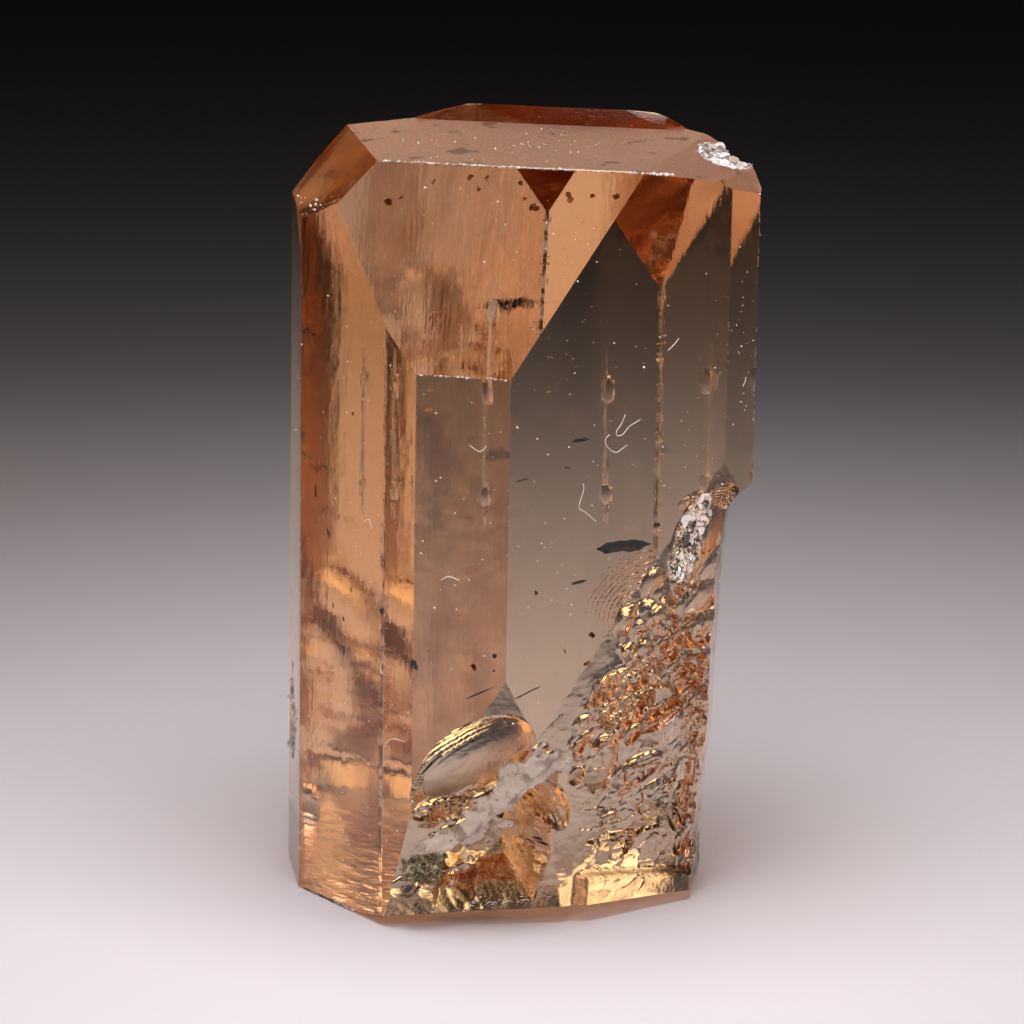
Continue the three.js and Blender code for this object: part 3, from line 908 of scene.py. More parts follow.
@dataclass
class Crystal:
    """The topaz: prism, flat top, domes, bevels, mound, breaks and chips.

    Sizes are millimetres and angles degrees. A prism face is an azimuth and a distance from the c
    axis; a closing face or dome is an azimuth, a tilt from the c axis and a point on it. The mound
    is a middle and half sizes, and the ramp is the face that slopes to its front. Chips and pits
    are a middle, half sizes and a turn. A nicked edge is two ends, a count and a size. A rusty
    spot is a middle and half sizes on the break, and how much stain it carries.
    """

    prism: tuple[Spot, ...] = (
        (0, 6.25), (43.5, 5.37), (62.1, 6.04), (96, 6.28), (117.9, 5.39), (136.5, 4.48),
        (180, 6.035), (223.5, 4.34), (242.1, 5.32), (292, 5.92), (318.7, 5.705), (330.3, 6.03),
    )
    closing: tuple[tuple[float, float, Point], ...] = (
        (0, 3.8, (0, -3.65, 19.58)),
        (-62.1, 45.6, (-3.07, -3.52, 19.58)),
        (72, 16.5, (4.17, -3.45, 19.53)),
        (75, 41, (5.44, -2.24, 19.31)),
    )
    domes: tuple[tuple[float, float, Point], ...] = (
        (0, 62.4, (0, -6.25, 14.6)),
        (180, 62.4, (0, 5.98, 15.8)),
    )
    mound: tuple[Point, Point] = ((-0.1, 4.1, 19.9), (5.0, 2.35, 0.46))
    ramp: tuple[float, float, Point] = (0, 15.0, (0, 2.45, 20.0))
    chips: tuple[tuple[Point, Point, float], ...] = (
        ((3.1, 3.3, 0.1), (0.8, 0.45, 0.75), -43),
        ((5.5, 0.25, 19.8), (0.95, 1.35, 0.5), 12),
        ((-6.1, -1.3, 4.1), (0.45, 0.95, 1.25), 22),
        ((-2.4, -6.1, 0.1), (0.7, 0.35, 0.8), -35),
    )
    nick_seed: int = 12
    foot: tuple[float, float, float] = (32, 170, 2.3)
    white_from: Spot = (4.4, 19.0)
    mound_from: Spot = (1.4, 19.9)
    level: float = 0.93
    level_from: float = 19.55
    level_back: float = 2.4
    crisp: float = 32.0
    edge_reach: float = 0.05
    exact: float = 2e-3
    near_by: float = 0.03
    alike: float = 0.998
    long_edge: float = 0.5
    most: float = 0.8
    few: int = 5
    seam: int = 6
    nicked: tuple[tuple[Point, Point, int, float], ...] = (
        ((-3.0, -3.65, 19.58), (4.74, -3.65, 19.58), 60, 0.055),
        ((-1.21, -6.25, 14.6), (1.21, -6.25, 14.6), 12, 0.04),
        ((-3.79, -4.14, 18.63), (-5.28, -2.73, 17.96), 14, 0.10),
        ((-1.21, -6.25, 6.0), (-1.21, -6.25, 14.6), 14, 0.035),
        ((-2.11, -5.74, 5.5), (-2.11, -5.74, 15.5), 16, 0.04),
        ((1.21, -6.25, 7.0), (1.21, -6.25, 14.6), 12, 0.04),
        ((-5.14, -3.07, 1.0), (-5.14, -3.07, 17.9), 16, 0.04),
        ((-5.95, -1.75, 3.1), (-5.95, -1.2, 5.6), 16, 0.24),
        ((0.1, 5.98, 8.5), (0.1, 5.98, 15.6), 30, 0.045),
        ((0.1, 5.98, 0.5), (0.1, 5.98, 8.5), 12, 0.05),
        ((5.86, -1.84, 12.0), (5.86, -1.84, 19.1), 12, 0.04),
        ((6.4, -0.82, 11.6), (6.4, -0.82, 19.0), 22, 0.07),
        ((-5.7, 0.54, 0.3), (-2.4, 5.6, 0.1), 14, 0.09),
        ((-2.11, -5.74, 0.0), (-5.14, -3.07, 0.0), 26, 0.12),
        ((-5.14, -3.07, 0.0), (-5.73, 0.54, 0.0), 14, 0.10),
        ((-4.6, 3.0, 19.3), (3.6, 3.62, 20.1), 30, 0.07),
    )
    pits: tuple[tuple[Point, Point, float], ...] = (
        ((-1.05, 4.98, 10.15), (0.20, 0.06, 0.32), 43.5),
        ((-1.05, 4.98, 10.65), (0.06, 0.05, 0.62), 43.5),
        ((-1.05, 4.98, 9.6), (0.05, 0.05, 0.30), 43.5),
        ((-1.05, 4.98, 13.0), (0.20, 0.06, 0.40), 43.5),
        ((-1.1, 4.92, 12.2), (0.03, 0.05, 1.9), 43.5),
        ((-2.2, 0.53, 19.88), (0.42, 0.26, 0.03), 20),
        ((-2.36, -0.54, 19.81), (0.24, 0.14, 0.03), 5),
        ((0.77, 0.97, 19.91), (0.25, 0.16, 0.03), -8),
        ((-0.08, -0.85, 19.78), (0.10, 0.07, 0.04), 0),
        ((0.03, -0.53, 19.80), (0.12, 0.09, 0.04), 0),
        ((0.30, -0.76, 19.79), (0.11, 0.08, 0.04), 0),
        ((0.58, -0.83, 19.78), (0.10, 0.07, 0.04), 0),
        ((0.61, -0.39, 19.81), (0.13, 0.09, 0.04), 0),
        ((0.12, -0.22, 19.82), (0.09, 0.08, 0.04), 0),
    )
    rusty: tuple[tuple[Spot, Spot, float], ...] = (
        ((-2.5, 1.4), (1.5, 0.8), 1.0),
        ((4.3, 6.6), (0.8, 1.8), 0.1),
        ((-3.3, 3.1), (1.2, 0.6), 0.3),
    )
    planes: list[Plane] = field(default_factory=list)

    def block(self, cuts: list[Plane], name: str) -> Piece:
        """A convex block inside a set of planes.

        Args:
            cuts: outward normal and distance from the origin of each plane.
            name: the object's name.

        Returns:
            The block.
        """
        shape = bmesh.new()
        bmesh.ops.create_cube(shape, size=60)
        for normal, distance in cuts:
            everything = shape.verts[:] + shape.edges[:] + shape.faces[:]
            cut = bmesh.ops.bisect_plane(
                shape, geom=everything, dist=1e-7, plane_co=Vector(normal * distance),
                plane_no=Vector(normal), clear_outer=True,
            )
            rim = [e for e in cut["geom_cut"] if isinstance(e, bmesh.types.BMEdge)]
            bmesh.ops.edgeloop_fill(shape, edges=rim)
        bmesh.ops.recalc_face_normals(shape, faces=shape.faces[:])
        for vertex in shape.verts:
            vertex.co = Vector(Axis.to_world(np.array(vertex.co)))
        mesh = bpy.data.meshes.new(name)
        shape.to_mesh(mesh)
        shape.free()
        return new_object(name, mesh)

    def ellipsoid(self, centre: Point, half: Point, turn: float, fine: int = 5) -> Piece:
        """A rounded body for the mound or a chip.

        Args:
            centre: its middle.
            half: its half sizes.
            turn: degrees about z.
            fine: steps of fineness.

        Returns:
            The body.
        """
        shape = bmesh.new()
        bmesh.ops.create_icosphere(shape, subdivisions=fine, radius=1.0)
        place = Matrix.Translation(centre) @ Matrix.Rotation(math.radians(turn), 4, "Z")
        place = place @ Matrix.Diagonal((*half, 1.0))
        for vertex in shape.verts:
            vertex.co = Vector(Axis.to_world(np.array(place @ vertex.co)))
        mesh = bpy.data.meshes.new("rounded")
        shape.to_mesh(mesh)
        shape.free()
        return new_object("rounded", mesh)

    def build(self) -> Piece:
        """Make the crystal's mesh and its surface attributes.

        Returns:
            The crystal.
        """
        walls = [(outward(a), d) for a, d in self.prism] + [(np.array([0, 0, -1.0]), 0.0)]
        closing = [(outward(a, b), float(outward(a, b) @ np.array(p))) for a, b, p in self.closing]
        domes = [(outward(a, b), float(outward(a, b) @ np.array(p))) for a, b, p in self.domes]
        self.planes = walls + closing + domes
        body = self.block(walls + closing + domes, "topaz_crystal")
        lens = self.ellipsoid(*self.mound, 0.0, 6)
        azimuth, tilt, through = self.ramp
        slope = outward(azimuth, tilt)
        lid = walls + domes + [(slope, float(slope @ np.array(through)))]
        boolean(lens, self.block(lid, "lid"), Join.COMMON)
        boolean(body, lens, Join.ADD)
        boolean(body, FrontBreak().cutter(), Join.CUT)
        boolean(body, SideBreak().cutter(), Join.CUT)
        boolean(body, self.lifted_foot(), Join.CUT)
        for centre, half, turn in self.chips:
            boolean(body, self.ellipsoid(centre, half, turn), Join.CUT)
        for centre, half, turn in self.pits:
            boolean(body, self.ellipsoid(centre, half, turn, 3), Join.CUT)
        boolean(body, self.nicks(), Join.CUT)
        self.mark(body)
        return body

    def lifted_foot(self) -> Piece:
        """What lies below the underside of the broken corner.

        Returns:
            The body.
        """
        azimuth, tilt, reach = self.foot
        normal = outward(azimuth, tilt)
        return self.block([(-normal, -float(normal @ (outward(azimuth) * reach)))], "foot")

    def rust(self, centres: Array) -> Array:
        """How much iron stain each face of the break carries, 0 to 1.

        Args:
            centres: rows of x, y, z of the faces' middles.

        Returns:
            The stain of each face.
        """
        broken = FrontBreak()
        a = math.radians(broken.azimuth)
        t, z = centres[:, 0] * math.cos(a) + centres[:, 1] * math.sin(a), centres[:, 2]
        stain = np.zeros(len(centres))
        for spot, half, share in self.rusty:
            stain = np.maximum(stain, share * broken.patch(t, z, (spot, half)))
        return stain

    def nicks(self) -> Piece:
        """The tiny bites along the crystal's edges, as bodies to cut away.

        Returns:
            The bodies as one object.
        """
        draw = np.random.default_rng(self.nick_seed)
        ball, faces = pebble()
        bites = Tangle()
        for start, end, count, size in self.nicked:
            run = np.array(end) - np.array(start)
            frame_rows = np.array(Vector(run).to_track_quat("X", "Z").to_matrix()).T
            for share in np.sort(draw.random(count)):
                half = size * (0.3 + 0.9 * draw.random(3) ** 1.5) * np.array([2.0, 1.0, 1.0])
                lumps = ball * (0.8 + 0.4 * draw.random((len(ball), 1)))
                spot = np.array(start) + run * share + size * 0.5 * (draw.random(3) - 0.5)
                bites.add(spot + (lumps * half) @ frame_rows, faces)
        return bites.piece("nicks")

    def on_planes(self, mesh: bpy.types.Mesh, corners: Array) -> Array:
        """Which faces lie on which of the crystal's planes.

        Args:
            mesh: the crystal's mesh.
            corners: rows of x, y, z in crystal millimetres.

        Returns:
            A row for each plane with a flag for each face.
        """
        loops, starts, sizes = rings_of(mesh)
        normals = read(mesh.polygons, "normal", 3)
        following = np.arange(1, len(loops) + 1)
        following[starts + sizes - 1] = starts
        lengths = np.linalg.norm(corners[loops] - corners[loops[following]], axis=1)
        longest = np.maximum.reduceat(lengths, starts)
        rows = []
        for normal, distance in self.planes:
            away = np.abs(corners @ normal - distance)[loops]
            off = np.maximum.reduceat(away, starts)
            share = np.add.reduceat((away < self.exact).astype(float), starts) / sizes
            facing = normals @ normal > self.alike
            rows.append(
                (off < self.exact) | (facing & (share > self.most))
                | ((off < self.near_by) & (facing | (longest > self.long_edge)))
            )
        return np.array(rows)

    def settle(self, body: Piece) -> Array:
        """Lay the natural faces exactly flat and cut every large face into sound triangles.

        Args:
            body: the crystal; its mesh is replaced.

        Returns:
            A row for each plane with a flag for each new face that lies on it.
        """
        mesh = body.data
        corners = read(mesh.vertices, "co", 3) / MM - np.array(Axis.OFFSET)
        on_plane = self.on_planes(mesh, corners)
        loops, starts, sizes = rings_of(mesh)
        owner = np.repeat(np.arange(len(sizes)), sizes)
        for _ in range(3):
            for (normal, distance), on in zip(self.planes, on_plane):
                held = np.unique(loops[on[owner]])
                away = corners[held] @ normal - distance
                away[np.abs(away) > 2 * self.near_by] = 0
                corners[held] -= away[:, None] * normal
        extra: list[Array] = []
        faces, parents = [], []
        for i, (start, size) in enumerate(zip(starts.tolist(), sizes.tolist())):
            ring = loops[start:start + size]
            parts = [tuple(ring.tolist())]
            if size > self.few:
                parts = refill(corners, ring, extra)
            faces += parts
            parents += [i] * len(parts)
        if extra:
            corners = np.concatenate([corners, np.array(extra)])
        body.data = bpy.data.meshes.new("topaz_crystal")
        body.data.from_pydata(Axis.to_world(corners).tolist(), [], faces)
        bpy.data.meshes.remove(mesh)
        return on_plane[:, parents]

    def mark(self, body: Piece) -> None:
        """Mark each face as natural, frosted or broken, and set which edges are crisp.

        Args:
            body: the crystal.
        """
        on_plane = self.settle(body)
        mesh = body.data
        count = len(mesh.polygons)
        centres = read(mesh.polygons, "center", 3) / MM - np.array(Axis.OFFSET)
        normals = read(mesh.polygons, "normal", 3)
        near = np.zeros(count, dtype=int)
        for normal, distance in self.planes:
            near += np.abs(centres @ normal - distance) < self.edge_reach
        natural = np.any(on_plane, axis=0)
        broken = ~natural
        x, y, z = centres.T
        level = (normals[:, 2] > self.level) & (z > self.level_from) & (y < self.level_back)
        base = len(self.prism)
        top, bevel, shoulder = base + 1, base + 2, base + 3
        masks = {
            Zone.BROKEN: broken,
            Zone.TOP: on_plane[top] | on_plane[shoulder] | (broken & level),
            Zone.BASE: on_plane[base],
            Zone.EDGE: broken & (near >= 2),
            Zone.WHITE: broken & (z > self.white_from[1]) & (x > self.white_from[0]),
            Zone.DOME: on_plane[-1] | on_plane[-2],
            Zone.RUST: self.rust(centres) * broken,
            Zone.SEAM: on_plane[self.seam],
            Zone.BEVEL: on_plane[bevel],
            Zone.MOUND: broken & (z > self.mound_from[1]) & (y > self.mound_from[0]),
        }
        for zone, mask in masks.items():
            layer = mesh.attributes.new(zone.value, "FLOAT", "FACE")
            layer.data.foreach_set("value", mask.astype(np.float32))
        mesh.shade_smooth()
        mesh.set_sharp_from_angle(angle=math.radians(self.crisp))
        mesh.polygons.foreach_set("use_smooth", broken)
        log.info("crystal faces %d, natural %d", count, int(natural.sum()))


# ---------------------------------------------------------------- what sits on and in the crystal


class Side(Enum):
    """Prism faces that carry lint and dust: outward azimuth and distance from the c axis."""

    FRONT = (0.0, 6.25)
    FRONT_RIGHT = (43.5, 5.37)
    RIGHT_FRONT = (62.1, 6.04)
    LEFT_NARROW = (330.3, 6.03)
    LEFT_WIDE = (318.7, 5.705)
    LEFT_FRONT = (292.0, 5.92)
    LEFT_BACK = (242.1, 5.32)
    BACK_LEFT = (223.5, 4.34)
    BACK_RIGHT = (136.5, 4.48)

    def spot(self, across: float, up: float, proud: float = 0.0) -> Array:
        """A place on the face.

        Args:
            across: millimetres along the face from the foot of its normal.
            up: millimetres up the c axis.
            proud: millimetres out from the face.

        Returns:
            x, y, z in crystal millimetres.
        """
        azimuth, distance = self.value
        a = math.radians(azimuth)
        out = distance + proud
        return np.array([
            math.cos(a) * across + math.sin(a) * out, math.sin(a) * across - math.cos(a) * out, up,
        ])


def bend(points: list[Array], steps: int = 6) -> Array:
    """A smooth line through points.

    Args:
        points: the places it passes.
        steps: parts between two of them.

    Returns:
        Rows of x, y, z.
    """
    p = np.array([points[0], *points, points[-1]])
    line = []
    for i in range(1, len(p) - 2):
        for s in np.linspace(0, 1, steps, endpoint=False):
            a = 2 * p[i]
            b = (p[i + 1] - p[i - 1]) * s
            c = (2 * p[i - 1] - 5 * p[i] + 4 * p[i + 1] - p[i + 2]) * s**2
            d = (3 * p[i] - p[i - 1] - 3 * p[i + 1] + p[i + 2]) * s**3
            line.append(0.5 * (a + b + c + d))
    return np.array(line + [p[-2]])


@dataclass
class Crust:
    """The lumpy clay crust over a strip of the front break.

    The line gives across, up and half width in millimetres along the strip.
    """

    name: str = "clay_crust"
    line: tuple[Point, ...] = (
        (-4.3, 2.15, 0.20), (-3.6, 2.45, 0.34), (-3.0, 2.78, 0.52), (-2.6, 3.1, 0.62),
        (-2.3, 3.6, 0.46), (-1.95, 4.1, 0.42), (-1.5, 4.45, 0.52), (-1.15, 4.55, 0.44),
        (-0.7, 4.5, 0.22),
    )
    thickness: float = 0.13
    skin: float = 0.03
    crisp: float = 50.0
    cell: float = 0.035
    clearance: float = 0.02
    sunk: float = 0.42
    grain: float = 0.16
    seed: int = 23

    def build(self, break_field: FrontBreak) -> Piece:
        """Make the crust.

        Args:
            break_field: the break that it lies on.

        Returns:
            The crust, a closed body.
        """
        line = np.array(self.line)
        low = line[:, :2].min(axis=0) - line[:, 2].max()
        high = line[:, :2].max(axis=0) + line[:, 2].max()
        columns, rows = np.ceil((high - low) / self.cell).astype(int)
        t, z = np.meshgrid(np.linspace(low[0], high[0], columns + 1),
                           np.linspace(low[1], high[1], rows + 1))
        inside = np.full_like(t, -9.0)
        for a, b in zip(line[:-1], line[1:]):
            run = b - a
            share = ((t - a[0]) * run[0] + (z - a[1]) * run[1]) / (run[0] ** 2 + run[1] ** 2)
            share = np.clip(share, 0, 1)
            away = np.hypot(t - a[0] - run[0] * share, z - a[1] - run[1] * share)
            half = a[2] + run[2] * share
            inside = np.maximum(inside, 1 - away / half)
        inside += 0.50 * Noise.octaves(t / 0.6, z / 0.6, self.seed + 5, 4)
        full = np.sqrt(np.clip(inside, 0, 1))
        lumps = Noise.octaves(t / self.grain, z / self.grain, self.seed, 3)
        seat = np.maximum(break_field.radius(t, z), break_field.sound(t, z) - self.sunk)
        seat = np.maximum.reduce([np.roll(seat, k, axis) for k in (-1, 0, 1) for axis in (0, 1)])
        lower = seat + self.clearance
        upper = lower + self.skin + self.thickness * full * (1 + 0.35 * lumps)
        keep = inside > 0
        cells = keep[:-1, :-1] & keep[1:, :-1] & keep[1:, 1:] & keep[:-1, 1:]
        number = np.arange(t.size).reshape(t.shape)
        shape = bmesh.new()
        verts: dict[tuple[int, int], bmesh.types.BMVert] = {}
        places = [break_field.place(t, z, r).reshape(-1, 3) for r in (lower, upper)]

        def corner(layer: int, i: int) -> bmesh.types.BMVert:
            """The vertex of a layer at a grid number, made when first asked for."""
            if (layer, i) not in verts:
                verts[layer, i] = shape.verts.new(Axis.to_world(places[layer][i]))
            return verts[layer, i]

        for r, c in zip(*np.nonzero(cells)):
            loop = [int(number[r, c]), int(number[r, c + 1]),
                    int(number[r + 1, c + 1]), int(number[r + 1, c])]
            shape.faces.new([corner(1, i) for i in loop])
            shape.faces.new([corner(0, i) for i in reversed(loop)])
            sides = ((r - 1, c, 0, 1), (r, c + 1, 1, 2), (r + 1, c, 2, 3), (r, c - 1, 3, 0))
            for rr, cc, i, j in sides:
                open_side = not (0 <= rr < cells.shape[0] and 0 <= cc < cells.shape[1])
                if open_side or not cells[rr, cc]:
                    a, b = loop[i], loop[j]
                    shape.faces.new([corner(0, a), corner(0, b), corner(1, b), corner(1, a)])
        mesh = bpy.data.meshes.new(self.name)
        bmesh.ops.recalc_face_normals(shape, faces=shape.faces[:])
        shape.to_mesh(mesh)
        shape.free()
        mesh.shade_smooth()
        mesh.set_sharp_from_angle(angle=math.radians(self.crisp))
        log.info("%s: %d faces", self.name, len(mesh.polygons))
        return new_object(self.name, mesh)


@dataclass
class Tuft:
    """Thin flakes heaped on a spot of the front break.

    Half sizes and flake sizes are millimetres. The heap is how far the flakes stand off in the
    middle, and the spread how far their faces turn from the break's.
    """

    name: str
    middle: Spot
    half: Spot
    count: int
    size: Spot
    heap: float
    spread: float
    lean: float = 0.0
    streak: float = 0.0
    seed: int = 5

    def build(self, break_field: FrontBreak) -> Piece:
        """Make the flakes.

        Args:
            break_field: the break that they lie on.

        Returns:
            The tuft.
        """
        draw = np.random.default_rng(self.seed)
        out = outward(break_field.azimuth)
        lean = math.radians(self.lean)
        run = math.cos(lean) * outward(break_field.azimuth + 90)
        run = run + math.sin(lean) * np.array([0, 0, 1])
        tuft = Tangle()
        for _ in range(self.count):
            turn, away = 2 * math.pi * draw.random(), draw.random() ** 0.6
            u = self.half[0] * away * math.cos(turn)
            v = self.half[1] * away * math.sin(turn)
            t = self.middle[0] + u * math.cos(lean) - v * math.sin(lean)
            z = self.middle[1] + u * math.sin(lean) + v * math.cos(lean)
            seat = float(break_field.radius(np.array([t]), np.array([z]))[0])
            size = self.size[0] + (self.size[1] - self.size[0]) * draw.random() ** 2
            lift = seat + 0.5 * size * self.spread + 0.01
            lift += self.heap * (1 - away**2) * draw.random()
            centre = break_field.place(np.array(t), np.array(z), np.array(lift))
            normal = self.spread * draw.normal(size=3) + out
            normal /= np.linalg.norm(normal)
            across = self.streak * run + draw.normal(size=3)
            across -= normal * (across @ normal)
            across *= size / np.linalg.norm(across)
            up = np.cross(normal, across) * (0.25 + 0.5 * draw.random())
            tuft.plate(centre, across, up, normal * 0.005)
        return tuft.piece(self.name)


@dataclass
class Bruise:
    """Pale flakes of crushed stone over the hollow of a chip."""

    name: str
    chip: tuple[Point, Point, float]
    planes: list[Plane]
    count: int = 520
    size: Spot = (0.04, 0.18)

    def build(self) -> Piece:
        """Make the flakes.

        Returns:
            The object.
        """
        draw = np.random.default_rng(17)
        centre, half, turn = self.chip
        c, s = math.cos(math.radians(turn)), math.sin(math.radians(turn))
        spin = np.array([[c, -s, 0], [s, c, 0], [0, 0, 1]])
        flakes = Tangle()
        while flakes.total < self.count * 12:
            ray = draw.normal(size=3)
            ray /= np.linalg.norm(ray)
            spot = np.array(centre) + spin @ (ray * np.array(half) * 0.985)
            if any(float(normal @ spot) > distance - 0.01 for normal, distance in self.planes):
                continue
            normal = -spin @ (ray / np.array(half)) + 0.8 * draw.normal(size=3)
            normal /= np.linalg.norm(normal)
            size = self.size[0] + (self.size[1] - self.size[0]) * draw.random() ** 2
            across = np.cross(normal, draw.normal(size=3))
            across *= size / np.linalg.norm(across)
            up = np.cross(normal, across) * (0.5 + 0.5 * draw.random())
            flakes.plate(spot, across, up, normal * 0.004)
        return flakes.piece(self.name)


@dataclass
class Needles:
    """Dark rods and grains sealed in the crystal: ends, largest radius."""

    rods: tuple[tuple[Point, Point, float], ...] = (
        ((-0.414, -2.419, 5.734), (0.316, -1.983, 6.056), 0.022),
        ((2.92, -4.05, 10.00), (4.06, -2.93, 9.98), 0.150),
        ((2.40, -4.75, 12.87), (2.80, -4.40, 12.90), 0.045),
        ((2.45, -4.75, 9.18), (2.80, -4.42, 9.24), 0.040),
        ((2.28, -4.98, 12.22), (2.44, -4.84, 12.20), 0.022),
        ((1.18, -5.80, 11.96), (1.50, -5.50, 12.02), 0.016),
        ((-3.47, -4.02, 6.98), (-3.43, -3.97, 6.70), 0.045),
        ((-1.24, -5.97, 7.22), (-1.16, -5.93, 6.94), 0.055),
        ((-4.08, -3.46, 9.95), (-4.01, -3.41, 9.66), 0.028),
        ((-2.20, -5.52, 8.37), (-2.16, -5.50, 8.26), 0.085),
        ((-4.50, -2.92, 11.0), (-4.46, -2.89, 10.6), 0.030),
        ((-3.49, -4.00, 7.75), (-3.44, -3.96, 7.60), 0.030),
        ((-3.24, -4.24, 8.62), (-3.20, -4.21, 8.44), 0.026),
        ((-3.88, -3.74, 8.02), (-3.84, -3.71, 7.86), 0.024),
        ((0.80, -5.78, 7.46), (0.88, -5.74, 7.44), 0.055),
        ((0.82, -5.86, 7.08), (0.87, -5.85, 7.07), 0.028),
        ((4.27, -3.20, 10.5), (4.42, -3.08, 10.5), 0.060),
    )

    def build(self) -> Piece:
        """Make the rods, tapered to ragged ends.

        Returns:
            The object.
        """
        draw = np.random.default_rng(3)
        rods = Tangle()
        for start, end, radius in self.rods:
            share = np.linspace(0, 1, 15)[:, None]
            spine = np.array(start) * (1 - share) + np.array(end) * share
            spine += 0.06 * radius * draw.normal(size=spine.shape)
            full = np.clip(6 * share[:, 0], 0.15, 1) * np.clip(4 * (1 - share[:, 0]), 0.12, 1)
            rods.tube(spine, radius * full * (0.85 + 0.3 * draw.random(15)), 7)
        return rods.piece("sealed_needles")


@dataclass
class Lint:
    """Pale hairs that cling to the faces."""

    radius: float = 0.011
    hairs: tuple[tuple[Side, tuple[Spot, ...]], ...] = (
        (Side.FRONT_RIGHT, ((-0.54, 13.0), (-0.65, 12.9), (-0.63, 12.74), (-0.49, 12.59),
                            (-0.29, 12.52), (-0.12, 12.61), (0.0, 12.69))),
        (Side.FRONT_RIGHT, ((-0.07, 13.47), (-0.2, 13.21), (-0.33, 13.07), (-0.3, 12.95),
                            (-0.13, 12.97), (0.04, 13.16), (0.2, 13.24), (0.37, 13.31))),
        (Side.FRONT_RIGHT, ((-1.3, 11.8), (-1.27, 11.65), (-1.34, 11.42), (-1.39, 11.18),
                            (-1.2, 11.05), (-0.99, 10.88), (-0.86, 10.78))),
        (Side.FRONT_RIGHT, ((1.45, 15.32), (1.35, 15.19), (1.16, 15.03))),
        (Side.RIGHT_FRONT, ((1.86, 14.12), (1.82, 13.99), (1.72, 13.9))),
        (Side.LEFT_NARROW, ((1.07, 4.8), (1.2, 4.98), (1.45, 5.09), (1.79, 5.07))),
        (Side.LEFT_WIDE, ((2.16, 7.01), (2.07, 6.78), (2.22, 6.71))),
        (Side.LEFT_WIDE, ((1.2, 10.5), (1.5, 10.62), (1.62, 10.4))),
        (Side.FRONT, ((0.2, 12.9), (0.45, 12.75), (0.62, 12.9))),
        (Side.FRONT, ((-0.5, 9.4), (-0.3, 9.5), (-0.05, 9.42))),
        (Side.BACK_LEFT, ((1.0, 7.5), (1.3, 7.8), (1.2, 8.2))),
        (Side.BACK_RIGHT, ((-1.4, 11.0), (-1.0, 11.3), (-1.1, 11.7))),
    )

    def build(self) -> Piece:
        """Make the hairs.

        Returns:
            The object.
        """
        lint = Tangle()
        for side, spots in self.hairs:
            line = bend([side.spot(t, z, 0.03 + 0.02 * math.sin(9 * t)) for t, z in spots])
            lint.tube(line, np.full(len(line), self.radius), 6)
        return lint.piece("lint_hairs")


@dataclass
class Dust:
    """Pale specks on the faces: side, reach across, reach up, count."""

    areas: tuple[tuple[Side, Spot, Spot, int], ...] = (
        (Side.FRONT_RIGHT, (-3.3, 2.9), (8.5, 18.0), 90),
        (Side.FRONT_RIGHT, (-3.3, -1.5), (5.5, 10.0), 22),
        (Side.FRONT, (-1.15, 1.15), (7.0, 14.4), 46),
        (Side.LEFT_NARROW, (0.95, 2.0), (1.5, 15.0), 26),
        (Side.LEFT_WIDE, (-1.6, 2.4), (1.0, 16.5), 80),
        (Side.LEFT_FRONT, (-1.0, 2.0), (1.0, 17.0), 20),
        (Side.RIGHT_FRONT, (1.2, 2.3), (12.5, 18.8), 30),
        (Side.LEFT_BACK, (-2.0, 2.0), (1.0, 18.0), 30),
        (Side.BACK_LEFT, (-3.0, 3.0), (1.0, 15.5), 40),
        (Side.BACK_RIGHT, (-3.0, 3.0), (1.0, 15.5), 40),
    )
    slopes: tuple[tuple[Point, Point, Point, int], ...] = (
        ((0.5, -4.95, 17.2), (3.0, 0.0, 0.0), (0.0, -1.2, 2.3), 90),
        ((-0.1, 0.0, 19.84), (3.2, 0.0, 0.0), (0.0, 3.2, 0.213), 70),
        ((0.87, -3.67, 19.585), (3.86, 0.0, 0.0), (0.0, 0.03, 0.012), 240),
        ((4.1, -3.66, 19.57), (0.55, 0.0, 0.0), (0.0, 0.05, 0.02), 60),
        ((-4.54, -3.45, 18.30), (0.72, 0.0, 0.0), (0.0, 0.10, 0.25), 46),
        ((0.0, -6.255, 14.6), (1.2, 0.0, 0.0), (0.0, 0.01, 0.015), 46),
    )
    size: Spot = (0.009, 0.026)

    def build(self) -> Piece:
        """Make the specks.

        Returns:
            The object.
        """
        draw = np.random.default_rng(8)
        ball, faces = pebble()
        dust = Tangle()
        places = []
        for side, reach, rise, count in self.areas:
            for a, b in draw.random((count, 2)):
                t, z = reach[0] + (reach[1] - reach[0]) * a, rise[0] + (rise[1] - rise[0]) * b
                places.append(side.spot(t, z, 0.012))
        for middle, across, up, count in self.slopes:
            for a, b in draw.random((count, 2)) * 2 - 1:
                places.append(np.array(middle) + a * np.array(across) + b * np.array(up))
        for spot in places:
            size = self.size[0] + (self.size[1] - self.size[0]) * draw.random() ** 3
            shape = ball * (0.6 + 0.8 * draw.random((len(ball), 1)))
            dust.add(spot + shape * size * (0.6 + draw.random(3)), faces)
        return dust.piece("dust_specks")


